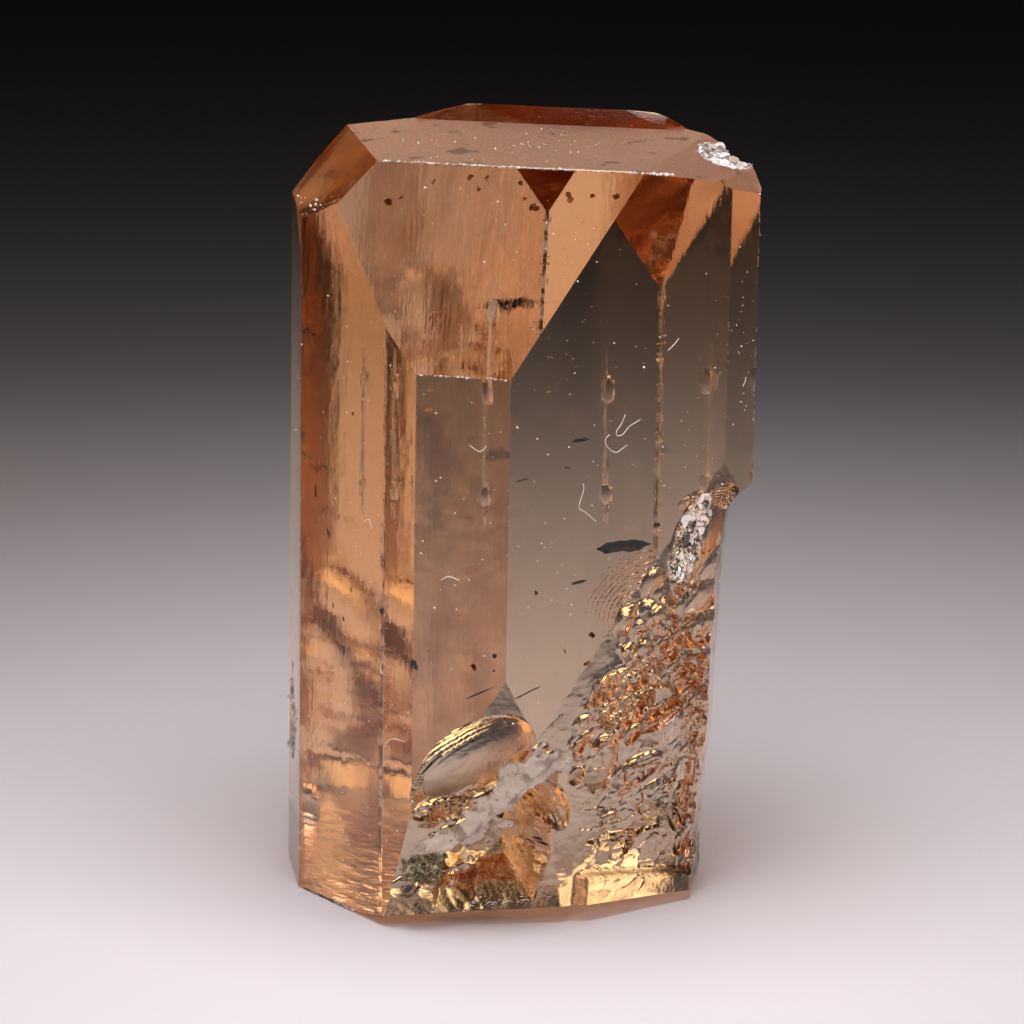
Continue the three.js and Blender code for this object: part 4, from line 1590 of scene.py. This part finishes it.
@dataclass
class Stains:
    """Thin brown films: middle and size on the front dome, side, spot and size on the prism."""

    dome: tuple[tuple[Point, float], ...] = (
        ((-2.53, -4.17, 18.579), 0.13), ((-0.493, -3.794, 19.297), 0.11),
        ((-0.105, -3.804, 19.278), 0.09), ((-0.285, -3.932, 19.034), 0.08),
        ((0.824, -3.822, 19.245), 0.13), ((0.961, -4.03, 18.847), 0.08),
        ((1.257, -4.139, 18.637), 0.16), ((-1.454, -3.879, 19.136), 0.07),
        ((2.087, -4.003, 18.897), 0.14), ((3.269, -3.938, 19.023), 0.12),
        ((2.731, -3.969, 18.964), 0.10), ((-2.245, -4.084, 18.742), 0.06),
    )
    sides: tuple[tuple[Side, Spot, float], ...] = (
        (Side.FRONT_RIGHT, (-0.9, 7.84), 0.10), (Side.FRONT_RIGHT, (-1.05, 7.1), 0.12),
        (Side.FRONT_RIGHT, (-1.7, 7.47), 0.06), (Side.FRONT_RIGHT, (-2.6, 9.1), 0.07),
        (Side.FRONT, (0.36, 7.19), 0.10), (Side.FRONT_RIGHT, (2.6, 18.86), 0.05),
        (Side.LEFT_WIDE, (0.6, 13.2), 0.08), (Side.LEFT_WIDE, (-0.4, 9.9), 0.07),
    )

    def build(self) -> Piece:
        """Make the films.

        Returns:
            The object.
        """
        draw = np.random.default_rng(4)
        films = Tangle()
        azimuth, tilt, _ = Crystal.domes[0]
        slope = outward(azimuth, tilt)
        frames = [(np.array(spot), slope, size) for spot, size in self.dome]
        for side, (t, z), size in self.sides:
            frames.append((side.spot(t, z), outward(side.value[0]), size))
        for spot, normal, size in frames:
            across = np.cross(normal, [0.0, 0.0, 1.0])
            across /= np.linalg.norm(across)
            up = np.cross(normal, across)
            turn = 3 * draw.random()
            a = (math.cos(turn) * across + math.sin(turn) * up) * size
            b = (math.cos(turn) * up - math.sin(turn) * across) * size * (0.6 + 0.3 * draw.random())
            for _ in range(4):
                share = 0.25 + 0.45 * draw.random()
                aside = 1.3 * (draw.random() - 0.5) * a + 1.3 * (draw.random() - 0.5) * b
                lift = 0.004 + 0.012 * draw.random()
                films.plate(spot + aside + normal * lift, a * share, b * share, normal * 0.0015, 9)
        return films.piece("brown_films")


# ---------------------------------------------------------------- finishes


class Graph:
    """A short way to write a material's node tree."""

    def __init__(self, tree: bpy.types.NodeTree) -> None:
        """Keep the tree that nodes are added to."""
        self.tree = tree

    def node(self, kind: str, values: dict[str, object] | None = None,
             **settings: object) -> bpy.types.Node:
        """Add a node.

        Args:
            kind: the node's type, without the leading ShaderNode.
            values: plain values or sockets for its inputs, by name or number.
            settings: properties of the node itself.

        Returns:
            The node.
        """
        node = self.tree.nodes.new("ShaderNode" + kind)
        for name, value in settings.items():
            setattr(node, name, value)
        for name, value in (values or {}).items():
            socket = node.inputs[name]
            if isinstance(value, Socket):
                self.tree.links.new(value, socket)
            else:
                socket.default_value = value
        return node

    def math(self, operation: str, a: object, b: object = 0.0) -> Socket:
        """Add a Math node and give its result."""
        return self.node("Math", {0: a, 1: b}, operation=operation).outputs[0]

    def stretched(self, scale: Point) -> Socket:
        """Object coordinates in millimetres, times a scale for each axis.

        Args:
            scale: cells per millimetre along each axis.

        Returns:
            The coordinates.
        """
        place = self.node("TexCoord").outputs["Object"]
        scale = tuple(s / MM for s in scale)
        return self.node("VectorMath", {0: place, 1: scale}, operation="MULTIPLY").outputs[0]

    def noise(self, scale: Point, detail: float = 2.0, seed: float = 0.0) -> Socket:
        """Noise over the object, with cells per millimetre along each axis.

        Args:
            scale: cells per millimetre along each axis.
            detail: steps of fineness.
            seed: which pattern.

        Returns:
            The noise, 0 to 1.
        """
        place = self.node("VectorMath", {0: self.stretched(scale), 1: (seed, seed, seed)})
        return self.node("TexNoise", {"Vector": place.outputs[0], "Scale": 1.0,
                                      "Detail": detail}).outputs["Fac"]

    def mask(self, zone: Zone) -> Socket:
        """The mask of a zone, which the mesh carries on its faces."""
        return self.node("Attribute", attribute_name=zone.value).outputs["Fac"]

    def mix(self, share: object, a: object, b: object) -> Socket:
        """A number between two, by share."""
        return self.node("Mix", {0: share, 2: a, 3: b}, data_type="FLOAT").outputs[0]

    def blend(self, share: object, a: object, b: object) -> Socket:
        """A colour between two, by share."""
        return self.node("Mix", {0: share, 6: a, 7: b}, data_type="RGBA").outputs[2]

    def graded(self, value: Socket, low: float, high: float) -> Socket:
        """A value as a share of the way from low to high, held from 0 to 1."""
        node = self.node("MapRange", {"Value": value, "From Min": low, "From Max": high})
        return node.outputs["Result"]


class Effects:
    """Node groups that several finishes share."""

    def __init__(self) -> None:
        """Make the groups."""
        self.speckle = self._speckle()
        self.lumps = self._lumps()

    @staticmethod
    def _group(name: str, inputs: dict[str, float], output: str) -> tuple[Graph, object, object]:
        """Start a group with number inputs and one number output.

        Args:
            name: the group's name.
            inputs: its inputs and their usual values.
            output: its output.

        Returns:
            The group's nodes, its input node and its output node.
        """
        tree = bpy.data.node_groups.new(name, "ShaderNodeTree")
        for label, value in inputs.items():
            socket = tree.interface.new_socket(label, in_out="INPUT", socket_type="NodeSocketFloat")
            socket.default_value = value
        tree.interface.new_socket(output, in_out="OUTPUT", socket_type="NodeSocketFloat")
        graph = Graph(tree)
        start = tree.nodes.new("NodeGroupInput")
        end = tree.nodes.new("NodeGroupOutput")
        return graph, start, end

    def _speckle(self) -> bpy.types.NodeTree:
        """Patches of a size, with a threshold and a softness, as a mask.

        Returns:
            The group.
        """
        inputs = {"Cells": 1.0, "Threshold": 0.5, "Softness": 0.1, "Seed": 0.0}
        graph, start, end = self._group("speckle_mask", inputs, "Mask")
        place = graph.node("TexCoord").outputs["Object"]
        scale = graph.math("MULTIPLY", start.outputs["Cells"], 1 / MM)
        place = graph.node("VectorMath", {0: place, 1: scale}, operation="MULTIPLY").outputs[0]
        place = graph.node("VectorMath", {0: place, 1: start.outputs["Seed"]}).outputs[0]
        noise = graph.node("TexNoise", {"Vector": place, "Scale": 1.0, "Detail": 4.0})
        low = start.outputs["Threshold"]
        high = graph.math("ADD", low, start.outputs["Softness"])
        mask = graph.node("MapRange", {"Value": noise.outputs["Fac"], "From Min": low,
                                       "From Max": high}, interpolation_type="SMOOTHSTEP")
        graph.tree.links.new(mask.outputs["Result"], end.inputs["Mask"])
        return graph.tree

    def _lumps(self) -> bpy.types.NodeTree:
        """Relief of two sizes, as a height.

        Returns:
            The group.
        """
        inputs = {"Coarse": 2.0, "Fine": 12.0, "Share": 0.3}
        graph, start, end = self._group("lumpy_height", inputs, "Height")
        place = graph.node("TexCoord").outputs["Object"]
        parts = []
        for name in ("Coarse", "Fine"):
            scale = graph.math("MULTIPLY", start.outputs[name], 1 / MM)
            spot = graph.node("VectorMath", {0: place, 1: scale}, operation="MULTIPLY").outputs[0]
            noise = graph.node("TexNoise", {"Vector": spot, "Scale": 1.0, "Detail": 3.0})
            parts.append(noise.outputs["Fac"])
        fine = graph.math("MULTIPLY", parts[1], start.outputs["Share"])
        graph.tree.links.new(graph.math("ADD", parts[0], fine), end.inputs["Height"])
        return graph.tree


class Finish:
    """A material under construction, with the shared effects at hand.

    Patches are cells per millimetre, threshold, softness and seed.
    """

    def __init__(self, name: str, effects: Effects) -> None:
        """Start an empty material.

        Args:
            name: the material's name.
            effects: the shared node groups.
        """
        self.material = bpy.data.materials.new(name)
        self.material.use_nodes = True
        self.tree = self.material.node_tree
        self.graph = Graph(self.tree)
        self.shader = self.tree.nodes["Principled BSDF"]
        self.effects = effects

    def plain(self, values: dict[str, object]) -> None:
        """Set plain values on the shader."""
        for name, value in values.items():
            self.shader.inputs[name].default_value = value

    def link(self, socket: Socket, name: str) -> None:
        """Link a result to one of the shader's inputs."""
        self.tree.links.new(socket, self.shader.inputs[name])

    def speckle(self, cells: float, threshold: float, softness: float,
                seed: float) -> Socket:
        """A mask of patches, with cells per millimetre."""
        values = {"Cells": cells, "Threshold": threshold, "Softness": softness, "Seed": seed}
        return self.graph.node("Group", values, node_tree=self.effects.speckle).outputs["Mask"]

    def lumps(self, coarse: float, fine: float, share: float) -> Socket:
        """A height of two sizes of lumps, with cells per millimetre."""
        values = {"Coarse": coarse, "Fine": fine, "Share": share}
        return self.graph.node("Group", values, node_tree=self.effects.lumps).outputs["Height"]

    def bump(self, height: Socket, distance: float) -> None:
        """Use a height as fine relief."""
        bump = self.graph.node("Bump", {"Height": height, "Distance": distance, "Strength": 1.0})
        self.link(bump.outputs["Normal"], "Normal")

    def over(self, share: Socket, below: Socket,
             colour: Point) -> Socket:
        """A plain colour laid over another, by share."""
        return self.graph.blend(share, below, (*colour, 1))

    def colours(self, share: Socket, a: Point, b: Point) -> Socket:
        """A colour between two, by share."""
        return self.graph.blend(share, (*a, 1), (*b, 1))


@dataclass(frozen=True)
class TopazGlass:
    """Clear brown-orange topaz, its tint taken up over the depth of the stone.

    A tint is what is left of light that crosses a face twice. The relief is in metres. Zones
    come in the order in which one covers the other.
    """

    index: float = 1.62
    tint: Point = (0.875, 0.60, 0.27)
    density: float = 100.0
    relief: float = 9e-6
    etching: Patches = (1.1, 0.60, 0.06, 3.0)
    sparkle: Patches = (16.0, 0.5, 0.1, 8.0)
    frost: tuple[float, float, float] = (0.5, 0.3, 0.55)
    roughness: tuple[tuple[Zone, float], ...] = (
        (Zone.BASE, 0.06), (Zone.BROKEN, 0.03), (Zone.EDGE, 0.30), (Zone.WHITE, 0.42),
        (Zone.SEAM, 0.45),
    )
    iron_patches: Patches = (2.2, 0.42, 0.2, 6.0)
    iron: Point = (0.85, 0.42, 0.16)
    slant: Spot = (0.11, 0.19)
    # painted shade: two mottled brown tints laid where light leaves a sound face at a slant
    slant_shade: Colours = ((0.74, 0.36, 0.18), (0.34, 0.15, 0.07))
    # painted shade: darker tints on the base, mound and bevel faces stand in for the dim shadowed
    # floor and the inner reflections seen through them
    painted_shade_tints: tuple[tuple[Zone, Point], ...] = (
        (Zone.BASE, (0.17, 0.065, 0.022)), (Zone.MOUND, (0.30, 0.12, 0.05)),
        (Zone.BEVEL, (0.56, 0.37, 0.22)),
    )
    dirt_patches: Patches = (3.0, 0.4, 0.12, 7.0)
    dirt: Point = (0.006, 0.003, 0.002)
    frosted: Colours = ((0.94, 0.52, 0.38), (0.22, 0.08, 0.04))

    def build(self, effects: Effects) -> bpy.types.Material:
        """Make the material.

        Args:
            effects: the shared node groups.

        Returns:
            The material.
        """
        finish = Finish("topaz_glass", effects)
        finish.plain({"Transmission Weight": 1.0, "IOR": self.index, "Metallic": 0.0})
        values = {"Color": (*self.tint, 1), "Density": self.density}
        volume = finish.graph.node("VolumeAbsorption", values)
        output = finish.tree.nodes["Material Output"]
        finish.tree.links.new(volume.outputs["Volume"], output.inputs["Volume"])
        etched = finish.speckle(*self.etching)
        finish.link(self.dullness(finish, etched), "Roughness")
        finish.link(self.face_tint(finish, etched), "Base Color")
        finish.bump(self.height(finish.graph), self.relief)
        return finish.material

    def dullness(self, finish: Finish, etched: bpy.types.NodeSocket) -> Socket:
        """How rough each zone is.

        Args:
            finish: the material under construction.
            etched: mask of the etched blotches.

        Returns:
            The roughness.
        """
        graph = finish.graph
        dull, bright, blotch = self.frost
        frost = graph.mix(finish.speckle(*self.sparkle), dull, bright)
        rough = graph.math("MULTIPLY", graph.mask(Zone.TOP), graph.mix(etched, frost, blotch))
        for zone, value in self.roughness:
            rough = graph.mix(graph.mask(zone), rough, value)
        return rough

    def face_tint(self, finish: Finish, etched: bpy.types.NodeSocket) -> Socket:
        """What light keeps of its colour at each zone's surface, with painted shade on the base,
        mound and bevel and where light leaves a face at a slant.

        Args:
            finish: the material under construction.
            etched: mask of the etched blotches.

        Returns:
            The tint.
        """
        graph = finish.graph
        stained = graph.math("MULTIPLY", finish.speckle(*self.iron_patches), graph.mask(Zone.RUST))
        tint = finish.colours(stained, (1, 1, 1), self.iron)
        # painted shade: brown tints where light leaves a sound face at a slant
        tint = graph.blend(self.leaving_aslant(graph), tint, self.painted_slant_shade(finish))
        # painted shade: darker tints on the base, mound and bevel
        for zone, colour in self.painted_shade_tints:
            tint = finish.over(graph.mask(zone), tint, colour)
        dirty = graph.math("MULTIPLY", graph.mask(Zone.SEAM), finish.speckle(*self.dirt_patches))
        tint = finish.over(dirty, tint, self.dirt)
        return graph.blend(graph.mask(Zone.TOP), tint, finish.colours(etched, *self.frosted))

    def leaving_aslant(self, graph: Graph) -> Socket:
        """1 where light leaves a sound face at a slant, which is where the painted shade goes.

        Args:
            graph: the material's nodes.

        Returns:
            The mask.
        """
        facing = graph.node("LayerWeight", {"Blend": 0.5}).outputs["Facing"]
        leaving = graph.node("NewGeometry").outputs["Backfacing"]
        slant = graph.graded(facing, *self.slant)
        slant = graph.math("MULTIPLY", slant, leaving)
        sound = graph.math("SUBTRACT", 1.0, graph.mask(Zone.BROKEN))
        return graph.math("MULTIPLY", slant, sound)

    def painted_slant_shade(self, finish: Finish) -> Socket:
        """Painted shade in two mottled brown tints, for light that leaves a sound face at a slant.
        """
        slant_shade = finish.graph.noise((0.9, 0.9, 0.55), 6, 9)
        return finish.colours(finish.graph.graded(slant_shade, 0.42, 0.66), *self.slant_shade)

    def height(self, graph: Graph) -> Socket:
        """Fine relief: growth lines on sound faces, grain and swells on the others.

        Args:
            graph: the material's nodes.

        Returns:
            The height, in parts of the relief.
        """
        hatch = graph.noise((9.0, 9.0, 0.7), 3, 1)
        cloud = graph.noise((2.2, 2.2, 1.1), 4, 2)
        grain = graph.noise((9.0, 9.0, 9.0), 5, 3)
        swell = graph.noise((0.9, 0.9, 0.9), 4, 5)
        lines = graph.math("MULTIPLY", hatch, 0.2)
        height = graph.math("ADD", lines, graph.math("MULTIPLY", cloud, 0.5))
        for zone, noise, share in (
            (Zone.DOME, cloud, 0.1), (Zone.BROKEN, grain, 1.2), (Zone.TOP, grain, 7.0),
            (Zone.BASE, swell, 11.0), (Zone.WHITE, grain, 8.0),
        ):
            height = graph.mix(graph.mask(zone), height, graph.math("MULTIPLY", noise, share))
        return height


@dataclass(frozen=True)
class Mottled:
    """A finish of two colours in patches, with fine lumps.

    Lumps are coarse and fine cells per millimetre and the share of the fine ones. The relief is
    in metres. Grains are patches of one more colour over the two.
    """

    name: str
    patches: Patches
    colours: Colours
    values: Values
    lumps: Point | None = None
    relief: float = 0.0
    grains: tuple[Patches, Point] | None = None

    def build(self, effects: Effects) -> bpy.types.Material:
        """Make the material.

        Args:
            effects: the shared node groups.

        Returns:
            The material.
        """
        finish = Finish(self.name, effects)
        colour = finish.colours(finish.speckle(*self.patches), *self.colours)
        if self.grains:
            patches, dark = self.grains
            colour = finish.over(finish.speckle(*patches), colour, dark)
        finish.link(colour, "Base Color")
        finish.plain(dict(self.values))
        if self.lumps:
            finish.bump(finish.lumps(*self.lumps), self.relief)
        return finish.material


@dataclass(frozen=True)
class ClayFinish(Mottled):
    """Dry pale clay with grey and brown dirt in its hollows."""

    name: str = "dry_clay"
    patches: Patches = (2.2, 0.5, 0.14, 1.0)
    colours: Colours = ((0.66, 0.55, 0.48), (0.36, 0.27, 0.21))
    values: Values = (("Roughness", 0.85), ("Specular IOR Level", 0.4))
    lumps: Point | None = (9.0, 34.0, 0.4)
    relief: float = 2.5e-5
    grains: tuple[Patches, Point] | None = ((9.0, 0.62, 0.1, 2.0), (0.25, 0.18, 0.13))


@dataclass(frozen=True)
class MicaFinish(Mottled):
    """Green-grey mica flakes with pale and dark ones among them."""

    name: str = "green_mica"
    patches: Patches = (7.0, 0.5, 0.1, 4.0)
    colours: Colours = ((0.19, 0.155, 0.085), (0.66, 0.55, 0.37))
    values: Values = (("Roughness", 0.28), ("Specular IOR Level", 0.8))
    lumps: Point | None = (20.0, 60.0, 0.3)
    relief: float = 4e-6


@dataclass(frozen=True)
class NeedleFinish(Mottled):
    """Brown-black sealed rods."""

    name: str = "needle_black"
    patches: Patches = (6.0, 0.52, 0.15, 9.0)
    colours: Colours = ((0.002, 0.0015, 0.001), (0.010, 0.006, 0.003))
    values: Values = (("Roughness", 0.9), ("Specular IOR Level", 0.0))
    lumps: Point | None = (10.0, 40.0, 0.3)
    relief: float = 5e-6


@dataclass(frozen=True)
class LintFinish(Mottled):
    """White fibre and dust."""

    name: str = "pale_lint"
    patches: Patches = (3.0, 0.5, 0.2, 2.0)
    colours: Colours = ((0.85, 0.83, 0.80), (0.75, 0.58, 0.45))
    values: Values = (("Roughness", 0.6),)
    lumps: Point | None = (40.0, 90.0, 0.3)
    relief: float = 2e-6


@dataclass(frozen=True)
class SilverFinish(Mottled):
    """The air film of a flat crack, which mirrors like foil."""

    name: str = "crack_film"
    patches: Patches = (4.0, 0.52, 0.14, 21.0)
    colours: Colours = ((1.0, 0.94, 0.89), (0.74, 0.57, 0.45))
    values: Values = (("Roughness", 0.16), ("Metallic", 0.9))
    lumps: Point | None = (14.0, 50.0, 0.3)
    relief: float = 8e-6


@dataclass(frozen=True)
class BruiseFinish(Mottled):
    """Crushed stone, whitish and half see-through."""

    name: str = "crushed_stone"
    patches: Patches = (5.0, 0.5, 0.2, 12.0)
    colours: Colours = ((0.93, 0.86, 0.84), (0.85, 0.62, 0.50))
    values: Values = (
        ("Roughness", 0.35), ("Transmission Weight", 0.45), ("IOR", 1.62),
    )
    lumps: Point | None = (30.0, 80.0, 0.3)
    relief: float = 3e-6


@dataclass(frozen=True)
class FilmFinish(Mottled):
    """See-through brown film."""

    name: str = "brown_film"
    patches: Patches = (9.0, 0.45, 0.15, 5.0)
    colours: Colours = ((0.62, 0.40, 0.20), (0.20, 0.10, 0.03))
    values: Values = (
        ("Roughness", 0.35), ("Transmission Weight", 1.0), ("IOR", 1.1), ("Metallic", 0.0),
    )


@dataclass(frozen=True)
class PaperFinish(Mottled):
    """The pale paper of the floor."""

    name: str = "floor_paper"
    patches: Patches = (0.05, 0.4, 0.3, 0.0)
    colours: Colours = ((0.80, 0.73, 0.78), (0.79, 0.72, 0.77))
    values: Values = (("Roughness", 0.9),)


# ---------------------------------------------------------------- stage


@dataclass(frozen=True)
class Lamp:
    """A soft lamp: where it is, where it points, its width and height, and its power.

    A lamp without a height is round. Lengths are millimetres.
    """

    name: str
    place: Point
    target: Point
    width: float
    height: float
    power: float
    spread: float = 180.0
    colour: Point = (1.0, 1.0, 1.0)

    def build(self) -> None:
        """Put the lamp in the scene."""
        lamp = bpy.data.lights.new(self.name, "AREA")
        lamp.shape = "RECTANGLE" if self.height else "DISK"
        lamp.size = self.width * MM
        lamp.size_y = self.height * MM
        lamp.energy = self.power
        lamp.spread = math.radians(self.spread)
        lamp.color = self.colour
        piece = bpy.data.objects.new(self.name, lamp)
        piece.location = Vector(self.place) * MM
        aim = Vector(self.target) - Vector(self.place)
        piece.rotation_euler = aim.to_track_quat("-Z", "Y").to_euler()
        bpy.context.scene.collection.objects.link(piece)


@dataclass
class Stage:
    """Pale floor, soft lamps in a dark room, and the camera.

    The eye and the floor's depth are millimetres, its radius metres.
    """

    lamps: tuple[Lamp, ...] = (
        Lamp("overhead", (1.0, -10.0, 48.0), (1.0, -10.0, 0.0), 32.0, 0.0, 0.0235),
        Lamp("in_front", (-2.0, -56.0, 40.0), (-2.0, -56.0, 0.0), 28.0, 0.0, 0.0085),
        Lamp("behind", (2.0, 38.0, 34.0), (2.0, 38.0, 0.0), 24.0, 0.0, 0.0012),
        Lamp("far_right", (62.0, -4.0, 30.0), (62.0, -4.0, 0.0), 26.0, 0.0, 0.0085,
             colour=(1.0, 0.94, 0.84)),
        Lamp("front_panel", (-5.0, -112.0, 24.0), (0.0, 0.0, 5.0), 130.0, 44.0, 0.0260,
             colour=(1.0, 0.81, 0.55)),
        Lamp("back_panel", (-25.0, 100.0, 34.0), (0.0, 0.0, 2.0), 80.0, 28.0, 0.00115, 40.0,
             (1.0, 0.75, 0.44)),
    )
    eye: Point = (24.72, -103.72, 32.57)
    forward: Point = (-0.2285, 0.9510, -0.2079)
    roll: float = 0.95
    lens: float = 144.14
    sensor: float = 36.0
    near: float = 0.001
    far: float = 10.0
    floor_radius: float = 1.2
    floor_depth: float = 0.02
    dark: Point = (0.002, 0.002, 0.002)
    bounces: int = 24
    mirror_bounces: int = 16
    floor_bounces: int = 3

    def floor(self, effects: Effects) -> Piece:
        """A wide pale floor a hair under the crystal.

        Args:
            effects: the shared node groups.

        Returns:
            The floor.
        """
        shape = bmesh.new()
        bmesh.ops.create_circle(shape, cap_ends=True, segments=96, radius=self.floor_radius)
        for vertex in shape.verts:
            vertex.co.z = -self.floor_depth * MM
        mesh = bpy.data.meshes.new("floor")
        shape.to_mesh(mesh)
        shape.free()
        floor = new_object("floor", mesh)
        mesh.materials.append(PaperFinish().build(effects))
        return floor

    def light(self) -> None:
        """The soft lamps and the dark room."""
        for lamp in self.lamps:
            lamp.build()
        world = bpy.data.worlds.new("dark_room")
        world.use_nodes = True
        world.node_tree.nodes["Background"].inputs["Color"].default_value = (*self.dark, 1)
        bpy.context.scene.world = world

    def camera(self) -> None:
        """The camera at the viewing angle."""
        lens = bpy.data.cameras.new("eye")
        lens.lens = self.lens
        lens.sensor_width = self.sensor
        lens.clip_start = self.near
        lens.clip_end = self.far
        piece = bpy.data.objects.new("eye", lens)
        back = -Vector(self.forward).normalized()
        right = Vector((0, 0, 1)).cross(back).normalized()
        above = back.cross(right)
        roll = math.radians(self.roll)
        side = right * math.cos(roll) + above * math.sin(roll)
        above = back.cross(side)
        turn = Matrix((side, above, back)).transposed().to_4x4()
        place = Matrix.Translation(Vector(Axis.to_world(np.array(self.eye))))
        piece.matrix_world = place @ turn
        bpy.context.scene.collection.objects.link(piece)
        bpy.context.scene.camera = piece

    def settings(self) -> None:
        """How the light is followed through clear stone."""
        scene = bpy.context.scene
        scene.cycles.max_bounces = self.bounces
        scene.cycles.transmission_bounces = self.bounces
        scene.cycles.glossy_bounces = self.mirror_bounces
        scene.cycles.diffuse_bounces = self.floor_bounces
        scene.cycles.use_denoising = True
        scene.view_settings.view_transform = "Standard"

    def build(self, effects: Effects) -> None:
        """Set up the whole stage.

        Args:
            effects: the shared node groups.
        """
        self.floor(effects)
        self.light()
        self.camera()
        self.settings()
        log.info("stage: floor and %d lamps", len(self.lamps))


def main() -> None:
    """Build every piece in order and report each one."""
    logging.basicConfig(level=logging.INFO)
    effects = Effects()
    Stage().build(effects)
    shape = Crystal()
    crystal = shape.build()
    dress(crystal, TopazGlass().build(effects))
    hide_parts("crystal")
    front = FrontBreak()
    clay = Crust().build(front)
    dress(clay, ClayFinish().build(effects))
    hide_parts("clay_seam")
    mica = Tuft(
        "mica_flakes", middle=(-4.0, 1.65), half=(0.74, 0.5), count=480, size=(0.05, 0.17),
        heap=0.24, spread=1.6,
    ).build(front)
    dress(mica, MicaFinish().build(effects))
    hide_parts("mica_patch")
    silver = Tuft(
        "silver_feather", middle=(2.95, 10.0), half=(1.2, 0.5), count=520, size=(0.05, 0.22),
        heap=0.03, spread=0.5, lean=70, streak=2.5, seed=6,
    ).build(front)
    dress(silver, SilverFinish().build(effects))
    dress(Needles().build(), NeedleFinish().build(effects))
    lint = LintFinish().build(effects)
    dress(Lint().build(), lint)
    dress(Dust().build(), lint)
    crushed = BruiseFinish().build(effects)
    top_chip, left_chip = shape.chips[1], shape.chips[2]
    white = Bruise("white_bruise", top_chip, shape.planes)
    dress(white.build(), crushed)
    left = Bruise("left_bruise", left_chip, shape.planes, count=260, size=(0.05, 0.19))
    dress(left.build(), crushed)
    dress(Stains().build(), FilmFinish().build(effects))


if __name__ == "__main__":
    main()
